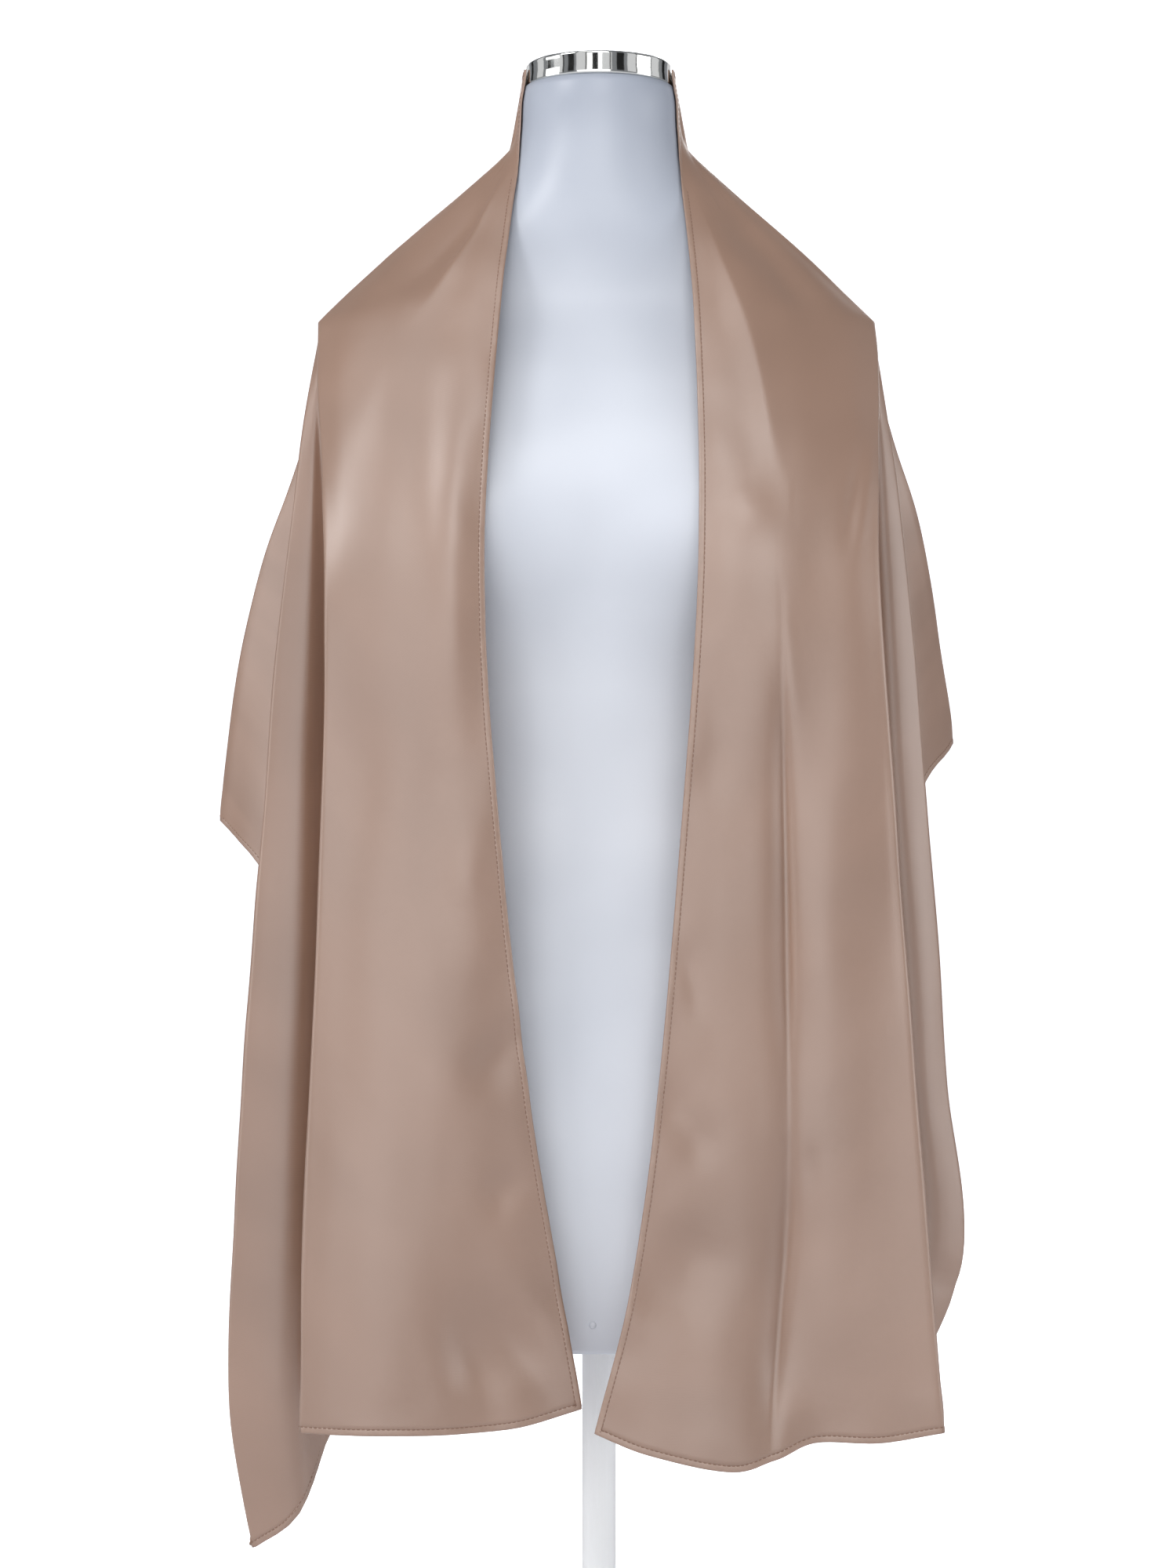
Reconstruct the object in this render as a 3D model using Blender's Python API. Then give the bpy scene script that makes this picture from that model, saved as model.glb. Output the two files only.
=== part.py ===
"""A satin scarf draped round the neck of a limbless dress form on a plain stand.

Metres, +Z up, front of the scarf towards -Y, +X to the viewer's right. The origin is the middle of the
base plate's underside. The scarf is one wall of cloth, cut at two hidden lines into three stretches.
Its surface is worked out from ribs: lines that run down the cloth from the neck edge to the hem, one
for each fold, with the cloth bent smoothly from rib to rib.
"""

import math
from collections import namedtuple

import bpy
from mathutils import Vector

CLEARANCE = 0.0003
CLOTH_WALL = 0.0012
CLOTH_REST_GAP = 0.0010
SEAM_GAP = 0.0003

BASE_RADIUS = 0.14
BASE_HEIGHT = 0.006
BASE_EDGE = 0.0015
BASE_SIDES = 64
POLE_RADIUS = 0.011
POLE_SIDES = 32
SOCKET_RADIUS = 0.021
SOCKET_NECK_RADIUS = 0.0143
SOCKET_HEIGHT = 0.012
SOCKET_TAPER = 0.0072

FORM_BOTTOM = 0.208
FORM_TOP = 1.0132
TORSO_SQUARENESS = 2.3
NECK_SQUARENESS = 2.0
NECK_FROM = 0.95
TORSO_TO = 0.88
FORM_SIDES = 48
LONG_SPAN = 0.05
AXIS_SLACK = 1e-6
CAP_RADIUS = 0.0478
CAP_HEIGHT = 0.0148
CAP_EDGE = 0.003
CAP_EDGE_BEND = 0.0009

BUST_HEIGHT = 0.722
BUST_APART = 0.083
BUST_SWELL = 0.024
BUST_WIDTH = 0.046
BUST_TALL = 0.055
BUST_BLEND = 1.6

NECK_EDGE_RADIUS = 0.0516
NECK_EDGE_TOP = 1.017
NECK_FOOT_TOP = 0.974
NECK_FOOT_FRONT = 0.0525
NECK_FOOT_SIDE = 0.0585
FOOT_TURN = math.radians(24)

# Ribs that cross the shoulder line between these two distances from the middle turn ever more sharply
# there, as the taut cloth does at the tip of the shoulder.
TIP_FROM = 0.13
TIP_TO = 0.172
TIP_CORNER = 0.85
FOOT_CORNER = 0.7

# A tight fold turns on an arc of FOLD_POINTS points, which may take FOLD_SHARE of the way to the next rib.
COLUMN_STEP = 0.028
LEAST_KNOT = 1e-4
FOLD_POINTS = 5
FOLD_RADIUS = 0.0026
FOLD_LEAST = 0.0022
FOLD_SHARE = 0.36
LEAST_TURN = math.radians(2)

Section = namedtuple("Section", "z half_width front back")
FORM_SECTIONS = (
    Section(0.208, 0.150, -0.096, 0.110),
    Section(0.260, 0.158, -0.101, 0.119),
    Section(0.330, 0.162, -0.104, 0.124),
    Section(0.400, 0.156, -0.103, 0.117),
    Section(0.470, 0.140, -0.096, 0.099),
    Section(0.545, 0.122, -0.088, 0.083),
    Section(0.610, 0.125, -0.091, 0.083),
    Section(0.670, 0.138, -0.098, 0.091),
    Section(0.725, 0.147, -0.103, 0.098),
    Section(0.775, 0.154, -0.096, 0.102),
    Section(0.815, 0.167, -0.082, 0.099),
    Section(0.840, 0.1755, -0.068, 0.090),
    Section(0.856, 0.1745, -0.060, 0.082),
    Section(0.871, 0.1635, -0.055, 0.074),
    Section(0.886, 0.1455, -0.053, 0.068),
    Section(0.901, 0.1225, -0.052, 0.064),
    Section(0.918, 0.0920, -0.052, 0.060),
    Section(0.940, 0.0670, -0.051, 0.056),
    Section(0.962, 0.0555, -0.050, 0.052),
    Section(0.985, 0.0512, -0.049, 0.0508),
    Section(1.004, 0.0504, -0.0495, 0.0504),
    Section(1.0132, 0.0488, -0.0478, 0.0488),
)

# Each rib gives its neck angle in degrees, from +X towards the back, then x and y at each level, and z
# where the rib crosses the shoulder line and where it meets the hem. The levels between are shares of
# the fall from shoulder to hem. A rib with fold set is the line of a tight turn.
Rib = namedtuple("Rib", "name fold neck shoulder bust waist hip thigh hem")
LEVEL_SHARES = {"bust": 0.23, "waist": 0.46, "hip": 0.72, "thigh": 0.88}

LEFT_RIBS = (
    Rib("front_edge", 0, 196, (-0.062, -0.085, 0.858), (-0.070, -0.138), (-0.062, -0.141), (-0.043, -0.140),
        (-0.025, -0.139), (-0.011, -0.137, 0.181)),
    Rib("inner_crest", 0, 191, (-0.080, -0.084, 0.858), (-0.088, -0.145), (-0.082, -0.147), (-0.068, -0.146),
        (-0.057, -0.147), (-0.048, -0.146, 0.172)),
    Rib("inner_trough", 0, 187, (-0.100, -0.078, 0.858), (-0.106, -0.142), (-0.102, -0.139), (-0.094, -0.138),
        (-0.089, -0.140), (-0.086, -0.142, 0.170)),
    Rib("outer_crest", 0, 183, (-0.128, -0.064, 0.858), (-0.132, -0.131), (-0.132, -0.140), (-0.131, -0.141),
        (-0.131, -0.143), (-0.130, -0.144, 0.171)),
    Rib("outer_slope", 0, 180, (-0.156, -0.043, 0.858), (-0.154, -0.110), (-0.155, -0.122), (-0.158, -0.125),
        (-0.159, -0.127), (-0.160, -0.128, 0.171)),
    Rib("front_fold", 1, 176, (-0.1785, -0.021, 0.857), (-0.168, -0.088), (-0.1705, -0.101),
        (-0.1785, -0.109), (-0.1825, -0.113), (-0.183, -0.115, 0.171)),
    Rib("front_valley", 1, 171, (-0.1805, -0.011, 0.858), (-0.136, -0.063), (-0.108, -0.085),
        (-0.082, -0.115), (-0.064, -0.119), (-0.050, -0.120, 0.205)),
    Rib("strip_inner", 0, 166, (-0.1815, -0.003, 0.858), (-0.172, -0.026), (-0.167, -0.036), (-0.162, -0.048),
        (-0.161, -0.044), (-0.163, -0.026, 0.145)),
    Rib("strip_middle", 0, 162, (-0.1820, 0.003, 0.858), (-0.191, -0.008), (-0.198, -0.006), (-0.205, -0.006),
        (-0.206, 0.000), (-0.195, 0.008, 0.085)),
    Rib("strip_fold", 1, 158, (-0.1820, 0.008, 0.858), (-0.2075, 0.008), (-0.222, 0.016), (-0.237, 0.025),
        (-0.2425, 0.029), (-0.228, 0.030, 0.061)),
    Rib("strip_back", 0, 154, (-0.1815, 0.014, 0.858), (-0.195, 0.028), (-0.207, 0.036), (-0.221, 0.042),
        (-0.226, 0.044), (-0.222, 0.044, 0.160)),
    Rib("side_valley", 1, 149, (-0.1805, 0.020, 0.858), (-0.168, 0.040), (-0.171, 0.050), (-0.180, 0.061),
        (-0.184, 0.066), (-0.187, 0.069, 0.420)),
    Rib("side_slope", 0, 144, (-0.1785, 0.027, 0.857), (-0.184, 0.050), (-0.199, 0.064), (-0.214, 0.074),
        (-0.221, 0.080), (-0.226, 0.084, 0.500)),
    Rib("back_tip", 1, 139, (-0.1750, 0.035, 0.857), (-0.200, 0.062), (-0.229, 0.084), (-0.248, 0.104),
        (-0.256, 0.113), (-0.261, 0.120, 0.537)),
    Rib("back_slope", 0, 131, (-0.1640, 0.046, 0.858), (-0.178, 0.078), (-0.196, 0.097), (-0.207, 0.109),
        (-0.213, 0.114), (-0.217, 0.118, 0.505)),
    Rib("back_crest", 0, 122, (-0.1410, 0.062, 0.860), (-0.152, 0.106), (-0.166, 0.131), (-0.177, 0.149),
        (-0.183, 0.156), (-0.186, 0.160, 0.475)),
    Rib("back_trough", 0, 112, (-0.1050, 0.077, 0.862), (-0.113, 0.111), (-0.120, 0.116), (-0.128, 0.119),
        (-0.132, 0.121), (-0.134, 0.122, 0.458)),
    Rib("back_ridge", 0, 101, (-0.0600, 0.086, 0.864), (-0.066, 0.122), (-0.073, 0.136), (-0.080, 0.148),
        (-0.083, 0.153), (-0.085, 0.156, 0.448)),
)
MIDDLE_RIBS = (
    Rib("back_middle", 0, 90, (0.000, 0.090, 0.864), (0.000, 0.117), (0.002, 0.118), (0.003, 0.120),
        (0.003, 0.121), (0.003, 0.122, 0.442)),
)
RIGHT_RIBS = (
    Rib("back_ridge", 0, 79, (0.0600, 0.086, 0.864), (0.068, 0.121), (0.077, 0.134), (0.084, 0.145),
        (0.088, 0.150), (0.091, 0.153, 0.452)),
    Rib("back_trough", 0, 68, (0.1050, 0.077, 0.862), (0.115, 0.110), (0.123, 0.115), (0.131, 0.119),
        (0.135, 0.121), (0.138, 0.123, 0.468)),
    Rib("back_crest", 0, 58, (0.1410, 0.062, 0.860), (0.150, 0.104), (0.162, 0.129), (0.173, 0.146),
        (0.178, 0.153), (0.181, 0.157, 0.498)),
    Rib("back_slope", 0, 49, (0.1640, 0.046, 0.858), (0.174, 0.078), (0.188, 0.095), (0.198, 0.108),
        (0.203, 0.113), (0.206, 0.117, 0.545)),
    Rib("back_tip", 1, 41, (0.1740, 0.035, 0.857), (0.197, 0.060), (0.218, 0.084), (0.232, 0.104),
        (0.240, 0.114), (0.244, 0.120, 0.590)),
    Rib("side_slope", 0, 36, (0.1765, 0.027, 0.857), (0.182, 0.048), (0.194, 0.060), (0.207, 0.069),
        (0.213, 0.073), (0.217, 0.076, 0.555)),
    Rib("side_valley", 1, 31, (0.1780, 0.020, 0.858), (0.168, 0.040), (0.171, 0.050), (0.178, 0.059),
        (0.181, 0.063), (0.184, 0.066, 0.450)),
    Rib("strip_back", 0, 26, (0.1785, 0.014, 0.858), (0.192, 0.027), (0.204, 0.034), (0.216, 0.040),
        (0.219, 0.042), (0.216, 0.040, 0.255)),
    Rib("strip_fold", 1, 22, (0.1790, 0.008, 0.858), (0.201, 0.008), (0.2145, 0.014), (0.228, 0.020),
        (0.2375, 0.024), (0.206, 0.010, 0.172)),
    Rib("strip_middle", 0, 18, (0.1790, 0.003, 0.858), (0.189, -0.008), (0.198, -0.006), (0.207, -0.006),
        (0.211, -0.002), (0.186, -0.012, 0.180)),
    Rib("strip_inner", 0, 14, (0.1785, -0.003, 0.858), (0.173, -0.026), (0.173, -0.036), (0.176, -0.048),
        (0.174, -0.050), (0.158, -0.054, 0.194)),
    Rib("front_valley", 1, 9, (0.1775, -0.011, 0.858), (0.139, -0.063), (0.116, -0.085), (0.092, -0.111),
        (0.080, -0.114), (0.070, -0.116, 0.208)),
    Rib("front_fold", 1, 4, (0.1755, -0.021, 0.857), (0.172, -0.086), (0.181, -0.099), (0.195, -0.108),
        (0.2035, -0.112), (0.211, -0.115, 0.169)),
    Rib("outer_slope", 0, 0, (0.152, -0.043, 0.858), (0.153, -0.112), (0.158, -0.122), (0.166, -0.124),
        (0.170, -0.125), (0.172, -0.124, 0.163)),
    Rib("outer_crest", 0, -3, (0.124, -0.066, 0.858), (0.127, -0.131), (0.132, -0.136), (0.138, -0.136),
        (0.139, -0.133), (0.131, -0.127, 0.163)),
    Rib("front_trough", 0, -6, (0.104, -0.077, 0.858), (0.108, -0.139), (0.111, -0.131), (0.114, -0.126),
        (0.112, -0.128), (0.107, -0.141, 0.154)),
    Rib("middle_crest", 0, -9, (0.088, -0.083, 0.858), (0.091, -0.146), (0.090, -0.147), (0.085, -0.150),
        (0.081, -0.157), (0.077, -0.165, 0.148)),
    Rib("inner_slope", 0, -12, (0.073, -0.085, 0.858), (0.075, -0.144), (0.069, -0.146), (0.055, -0.147),
        (0.042, -0.151), (0.029, -0.156, 0.158)),
    Rib("front_edge", 0, -16, (0.059, -0.085, 0.858), (0.060, -0.138), (0.050, -0.141), (0.034, -0.140),
        (0.018, -0.140), (-0.003, -0.139, 0.170)),
)
RIBS = LEFT_RIBS + MIDDLE_RIBS + RIGHT_RIBS
CUT_RIB = "side_slope"

# How many rows of faces lie between one level and the next, from the neck edge down.
ROWS = (2, 3, 3, 2, 2, 2, 2)

Finish = namedtuple("Finish", "colour roughness metallic")
FINISHES = {
    "satin": Finish((0.46, 0.34, 0.27), 0.38, 0.0),
    "form_shell": Finish((0.80, 0.84, 0.90), 0.15, 0.0),
    "chrome": Finish((0.80, 0.80, 0.82), 0.08, 1.0),
    "white_paint": Finish((0.86, 0.86, 0.87), 0.30, 0.0),
}


def clear_scene():
    """Removes every object, so that the script can be run again."""
    for old in list(bpy.data.objects):
        bpy.data.objects.remove(old, do_unlink=True)


def make_material(name):
    """A plain material from the table of finishes."""
    finish = FINISHES[name]
    material = bpy.data.materials.new(name)
    material.use_nodes = True
    shader = material.node_tree.nodes["Principled BSDF"]
    shader.inputs["Base Color"].default_value = (*finish.colour, 1.0)
    shader.inputs["Roughness"].default_value = finish.roughness
    shader.inputs["Metallic"].default_value = finish.metallic
    return material


def add_solid(name, points, faces, material, sharp_angle=40):
    """A mesh object, smooth shaded but for edges sharper than sharp_angle degrees."""
    mesh = bpy.data.meshes.new(name)
    mesh.from_pydata([tuple(p) for p in points], [], faces)
    mesh.shade_smooth()
    mesh.set_sharp_from_angle(angle=math.radians(sharp_angle))
    mesh.materials.append(material)
    solid = bpy.data.objects.new(name, mesh)
    bpy.context.scene.collection.objects.link(solid)
    return solid


def spline_value(knots, values, at, corners=None):
    """A smooth curve through the values (cubic, with slopes from each knot's two neighbours).

    corners gives, for each knot, how much of the smoothing is left out there, from 0 to 1.
    """
    last = len(knots) - 1
    at = min(max(at, knots[0]), knots[last])
    i = 0
    while i < last - 1 and at > knots[i + 1]:
        i += 1
    width = knots[i + 1] - knots[i]
    t = (at - knots[i]) / width

    def slope(k):
        low = max(k - 1, 0)
        high = min(k + 1, last)
        smooth = (values[high] - values[low]) / (knots[high] - knots[low])
        if not corners or not corners[k]:
            return smooth
        own = (values[i + 1] - values[i]) / width
        return smooth + (own - smooth) * corners[k]

    square = t * t
    cube = square * t
    return (
        values[i] * (2 * cube - 3 * square + 1)
        + slope(i) * (width * (cube - 2 * square + t))
        + values[i + 1] * (3 * square - 2 * cube)
        + slope(i + 1) * (width * (cube - square))
    )


def form_section(z):
    """The form's half width, front and back at a height."""
    levels = [s.z for s in FORM_SECTIONS]
    half_width = spline_value(levels, [s.half_width for s in FORM_SECTIONS], z)
    front = spline_value(levels, [s.front for s in FORM_SECTIONS], z)
    back = spline_value(levels, [s.back for s in FORM_SECTIONS], z)
    return half_width, front, back


def squareness(z):
    """The power of the form's outline: round at the neck, a little squarer at the torso."""
    share = min(1.0, max(0.0, (NECK_FROM - z) / (NECK_FROM - TORSO_TO)))
    return NECK_SQUARENESS + (TORSO_SQUARENESS - NECK_SQUARENESS) * share


def bust_swell(x, z):
    """How far the bust stands out in front of the form's plain section."""
    aside = (abs(x) - BUST_APART) / BUST_WIDTH
    above = (z - BUST_HEIGHT) / BUST_TALL
    return BUST_SWELL * math.exp(-aside * aside - above * above)


def form_point(angle, z):
    """A point of the form's surface; the swell of the bust is added to the front half."""
    half_width, front, back = form_section(z)
    power = 2 / squareness(z)
    x = half_width * math.copysign(abs(math.cos(angle)) ** power, math.cos(angle))
    depth = back if math.sin(angle) > 0 else -front
    y = depth * math.copysign(abs(math.sin(angle)) ** power, math.sin(angle))
    if y < 0:
        y -= bust_swell(x, z) * min(1.0, y / front * BUST_BLEND)
    return Vector((x, y, z))


def rest_on_form(point, gap):
    """Moves a point of the cloth outwards, at its own height, until it lies at least gap off the form."""
    if point.z < FORM_BOTTOM or point.z > FORM_TOP:
        return point
    half_width, front, back = form_section(point.z)
    depth = back if point.y > 0 else -front
    n = squareness(point.z)
    if point.y < 0:
        depth += bust_swell(point.x, point.z)
    flat = Vector((point.x, point.y, 0))
    share = (abs(point.x / half_width) ** n + abs(point.y / depth) ** n) ** (1 / n)
    if share < AXIS_SLACK:
        return point
    reach = flat.length / share
    need = (reach + gap) / reach
    if share >= need:
        return point
    moved = flat * (need / share)
    return Vector((moved.x, moved.y, point.z))


def rib_levels(rib):
    """The rib's own points: neck edge, neck foot, shoulder line, the levels between, and the hem."""
    angle = math.radians(rib.neck)
    outward = Vector((math.cos(angle), math.sin(angle), 0))
    past_edge = min(math.radians(RIBS[0].neck) - angle, angle - math.radians(RIBS[-1].neck))
    turn = min(1.0, max(0.0, past_edge / FOOT_TURN))
    foot_radius = NECK_FOOT_FRONT + (NECK_FOOT_SIDE - NECK_FOOT_FRONT) * math.sin(turn * math.pi / 2)
    points = [outward * NECK_EDGE_RADIUS + Vector((0, 0, NECK_EDGE_TOP))]
    points.append(outward * foot_radius + Vector((0, 0, NECK_FOOT_TOP)))
    shoulder = Vector(rib.shoulder)
    hem = Vector(rib.hem)
    points.append(shoulder)
    for level, share in LEVEL_SHARES.items():
        x, y = getattr(rib, level)
        points.append(Vector((x, y, shoulder.z + (hem.z - shoulder.z) * share)))
    points.append(hem)
    return points


def rib_rows(rib):
    """The rib read at every row of the cloth."""
    points = rib_levels(rib)
    knots = [0.0]
    for a, b in zip(points, points[1:]):
        knots.append(knots[-1] + (b - a).length)
    past_slope = (abs(rib.shoulder[0]) - TIP_FROM) / (TIP_TO - TIP_FROM)
    corner = min(1.0, max(0.0, past_slope))
    corners = [0.0] * len(points)
    corners[1] = corner * FOOT_CORNER
    corners[2] = corner * TIP_CORNER
    rows = []
    for i, count in enumerate(ROWS):
        for k in range(count):
            at = knots[i] + (knots[i + 1] - knots[i]) * k / count
            rows.append(spline_value(knots, points, at, corners))
    rows.append(points[-1])
    return rows


def across(vector, along):
    """The share of a vector that is square to a unit direction."""
    return vector - along * vector.dot(along)


def fold_arc(before, fold, after, along):
    """Points of a small arc that turns the cloth at a fold, its farthest point on the fold's own line.

    before and after are the neighbouring ribs' points, and along is the fold's own direction.
    """
    to_before = across(before - fold, along)
    to_after = across(after - fold, along)
    room = FOLD_SHARE * min(to_before.length, to_after.length)
    to_before.normalize()
    to_after.normalize()
    inward = to_before + to_after
    side = (to_before - to_after).normalized()
    half_turn = max(math.asin(min(1.0, inward.length / 2)), LEAST_TURN)
    inward.normalize()
    half_length = min(max(FOLD_RADIUS * half_turn, FOLD_LEAST), room)
    radius = half_length / half_turn
    centre = fold + inward * radius
    arc = []
    reach = FOLD_POINTS // 2
    for k in range(-reach, reach + 1):
        angle = half_turn * k / reach
        arc.append(centre - inward * (radius * math.cos(angle)) - side * (radius * math.sin(angle)))
    return arc


def with_fold_turns(points, directions):
    """One row's points, with each fold's single point widened into its arc."""
    dressed = []
    for i, (rib, point) in enumerate(zip(RIBS, points)):
        if rib.fold:
            dressed += fold_arc(points[i - 1], point, points[i + 1], directions[i])
        else:
            dressed.append(point)
    return dressed


def column_counts(rows):
    """How many columns lie between one point of the sections and the next, from the widest row."""
    counts = []
    for i in range(len(rows[0]) - 1):
        widest = max((row[i + 1] - row[i]).length for row in rows)
        counts.append(max(1, math.ceil(widest / COLUMN_STEP)))
    return counts


def section_columns(points, counts):
    """A smooth curve through one row's points, knots spaced by the root of their distance."""
    knots = [0.0]
    for a, b in zip(points, points[1:]):
        knots.append(knots[-1] + max(math.sqrt((b - a).length), LEAST_KNOT))
    columns = []
    for i, count in enumerate(counts):
        for k in range(count):
            at = knots[i] + (knots[i + 1] - knots[i]) * k / count
            columns.append(spline_value(knots, points, at))
    columns.append(points[-1])
    return columns


def cloth_grid():
    """The middle surface of the whole cloth, as rows of points, and the column of each rib."""
    by_rib = [rib_rows(rib) for rib in RIBS]
    rows = []
    last = sum(ROWS)
    for k in range(last + 1):
        directions = [(rib[min(k + 1, last)] - rib[max(k - 1, 0)]).normalized() for rib in by_rib]
        rows.append(with_fold_turns([rib[k] for rib in by_rib], directions))
    counts = column_counts(rows)
    grid = []
    for row in rows:
        columns = section_columns(row, counts)
        grid.append([rest_on_form(p, CLOTH_REST_GAP + CLOTH_WALL / 2) for p in columns])
    rib_columns = []
    step = 0
    for rib in RIBS:
        middle = step + FOLD_POINTS // 2 if rib.fold else step
        rib_columns.append(sum(counts[:middle]))
        step += FOLD_POINTS if rib.fold else 1
    return grid, rib_columns


def grid_normals(grid):
    """The outward direction of the cloth at each point: away from the form on the front panels."""
    last_row = len(grid) - 1
    last_column = len(grid[0]) - 1
    normals = []
    for r, row in enumerate(grid):
        line = []
        for c in range(len(row)):
            along = grid[min(r + 1, last_row)][c] - grid[max(r - 1, 0)][c]
            sideways = row[min(c + 1, last_column)] - row[max(c - 1, 0)]
            line.append(sideways.cross(along).normalized())
        normals.append(line)
    return normals


def cloth_stretch(name, grid, normals, first, last, material):
    """A closed wall over the columns first to last, drawn back by half the seam gap at an inner cut."""
    width = last - first + 1
    height = len(grid)
    middle = [list(row[first:last + 1]) for row in grid]
    whole = len(grid[0]) - 1
    for r in range(height):
        for edge, cut in ((0, first > 0), (-1, last < whole)):
            if not cut:
                continue
            column = first if edge == 0 else last
            along = grid[min(r + 1, height - 1)][column] - grid[max(r - 1, 0)][column]
            along.normalize()
            inward = across(grid[r][column + (1 if edge == 0 else -1)] - grid[r][column], along)
            middle[r][edge] = grid[r][column] + inward.normalized() * (SEAM_GAP / 2)
    points = []
    for side in (1, -1):
        for r in range(height):
            for c in range(width):
                points.append(middle[r][c] + normals[r][first + c] * (side * CLOTH_WALL / 2))
    layer = width * height

    def at(r, c):
        return r * width + c

    faces = []
    for r in range(height - 1):
        for c in range(width - 1):
            a, b, d, e = at(r, c), at(r, c + 1), at(r + 1, c + 1), at(r + 1, c)
            faces.append((a, b, d))
            faces.append((a, d, e))
            faces.append((layer + a, layer + d, layer + b))
            faces.append((layer + a, layer + e, layer + d))
    rim = [at(0, c) for c in range(width)]
    rim += [at(r, width - 1) for r in range(1, height)]
    rim += [at(height - 1, c) for c in range(width - 2, -1, -1)]
    rim += [at(r, 0) for r in range(height - 2, 0, -1)]
    for a, b in zip(rim, rim[1:] + rim[:1]):
        if a > b and a - b == width:
            faces.append((b, a, layer + b))
            faces.append((a, layer + a, layer + b))
        else:
            faces.append((b, a, layer + a))
            faces.append((b, layer + a, layer + b))
    return add_solid(name, points, faces, material)


def build_scarf(material):
    """The whole cloth, cut at the same rib on both sides into front left, back and front right."""
    grid, rib_columns = cloth_grid()
    normals = grid_normals(grid)
    left_names = [rib.name for rib in LEFT_RIBS]
    right_names = [rib.name for rib in RIGHT_RIBS]
    left_cut = rib_columns[left_names.index(CUT_RIB)]
    right_start = len(LEFT_RIBS) + len(MIDDLE_RIBS)
    right_cut = rib_columns[right_start + right_names.index(CUT_RIB)]
    last = len(grid[0]) - 1
    cloth_stretch("scarf_left", grid, normals, 0, left_cut, material)
    cloth_stretch("scarf_back", grid, normals, left_cut, right_cut, material)
    cloth_stretch("scarf_right", grid, normals, right_cut, last, material)


def stacked_rings(name, rings, material, sharp_angle=40):
    """A closed solid through rings of equal count, lowest first, with a flat face at each end."""
    sides = len(rings[0])
    points = [p for ring in rings for p in ring]
    faces = []
    for r in range(len(rings) - 1):
        for c in range(sides):
            d = (c + 1) % sides
            faces.append((r * sides + c, r * sides + d, (r + 1) * sides + d, (r + 1) * sides + c))
    faces.append(tuple(reversed(range(sides))))
    top = (len(rings) - 1) * sides
    faces.append(tuple(top + c for c in range(sides)))
    return add_solid(name, points, faces, material, sharp_angle)


def circle(radius, z, sides):
    """A level ring of points round the axis."""
    ring = []
    for k in range(sides):
        angle = 2 * math.pi * k / sides
        ring.append(Vector((radius * math.cos(angle), radius * math.sin(angle), z)))
    return ring


def build_form(material):
    """The limbless torso, through its table of sections; a long span takes one more ring."""
    levels = []
    for low, high in zip(FORM_SECTIONS, FORM_SECTIONS[1:]):
        steps = 2 if high.z - low.z > LONG_SPAN else 1
        levels += [low.z + (high.z - low.z) * k / steps for k in range(steps)]
    levels.append(FORM_SECTIONS[-1].z)
    rings = []
    for z in levels:
        rings.append([form_point(2 * math.pi * k / FORM_SIDES, z) for k in range(FORM_SIDES)])
    return stacked_rings("form_torso", rings, material)


def build_cap(material):
    """The round cap that closes the neck, with a softened top edge."""
    low = FORM_TOP + CLEARANCE
    top = low + CAP_HEIGHT
    rings = [
        circle(CAP_RADIUS, low, FORM_SIDES),
        circle(CAP_RADIUS, top - CAP_EDGE, FORM_SIDES),
        circle(CAP_RADIUS - CAP_EDGE_BEND, top - CAP_EDGE_BEND, FORM_SIDES),
        circle(CAP_RADIUS - CAP_EDGE, top, FORM_SIDES),
    ]
    return stacked_rings("neck_cap", rings, material)


def build_stand(material):
    """The base plate, the pole and the tapered socket under the form."""
    base = [
        circle(BASE_RADIUS, 0, BASE_SIDES),
        circle(BASE_RADIUS, BASE_HEIGHT - BASE_EDGE, BASE_SIDES),
        circle(BASE_RADIUS - BASE_EDGE, BASE_HEIGHT, BASE_SIDES),
    ]
    stacked_rings("base_plate", base, material, 30)
    socket_top = FORM_BOTTOM - CLEARANCE
    socket_low = socket_top - SOCKET_HEIGHT
    pole_top = socket_low - CLEARANCE
    pole = [
        circle(POLE_RADIUS, BASE_HEIGHT + CLEARANCE, POLE_SIDES),
        circle(POLE_RADIUS, pole_top, POLE_SIDES),
    ]
    stacked_rings("stand_pole", pole, material, 30)
    socket = [
        circle(SOCKET_NECK_RADIUS, socket_low, POLE_SIDES),
        circle(SOCKET_RADIUS, socket_low + SOCKET_TAPER, POLE_SIDES),
        circle(SOCKET_RADIUS, socket_top, POLE_SIDES),
    ]
    stacked_rings("form_socket", socket, material, 30)


def main():
    """Builds the stand, the form, its cap and the scarf."""
    clear_scene()
    materials = {name: make_material(name) for name in FINISHES}
    build_stand(materials["white_paint"])
    build_form(materials["form_shell"])
    build_cap(materials["chrome"])
    build_scarf(materials["satin"])


main()
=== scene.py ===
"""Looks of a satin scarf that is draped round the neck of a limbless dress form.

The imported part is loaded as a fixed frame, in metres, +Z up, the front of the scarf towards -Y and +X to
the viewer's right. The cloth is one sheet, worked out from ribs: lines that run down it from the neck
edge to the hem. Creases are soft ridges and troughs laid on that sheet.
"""

import logging
import math
from dataclasses import dataclass, field
from enum import Enum
from typing import NamedTuple

import bpy
import numpy as np
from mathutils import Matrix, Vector, noise


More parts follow.
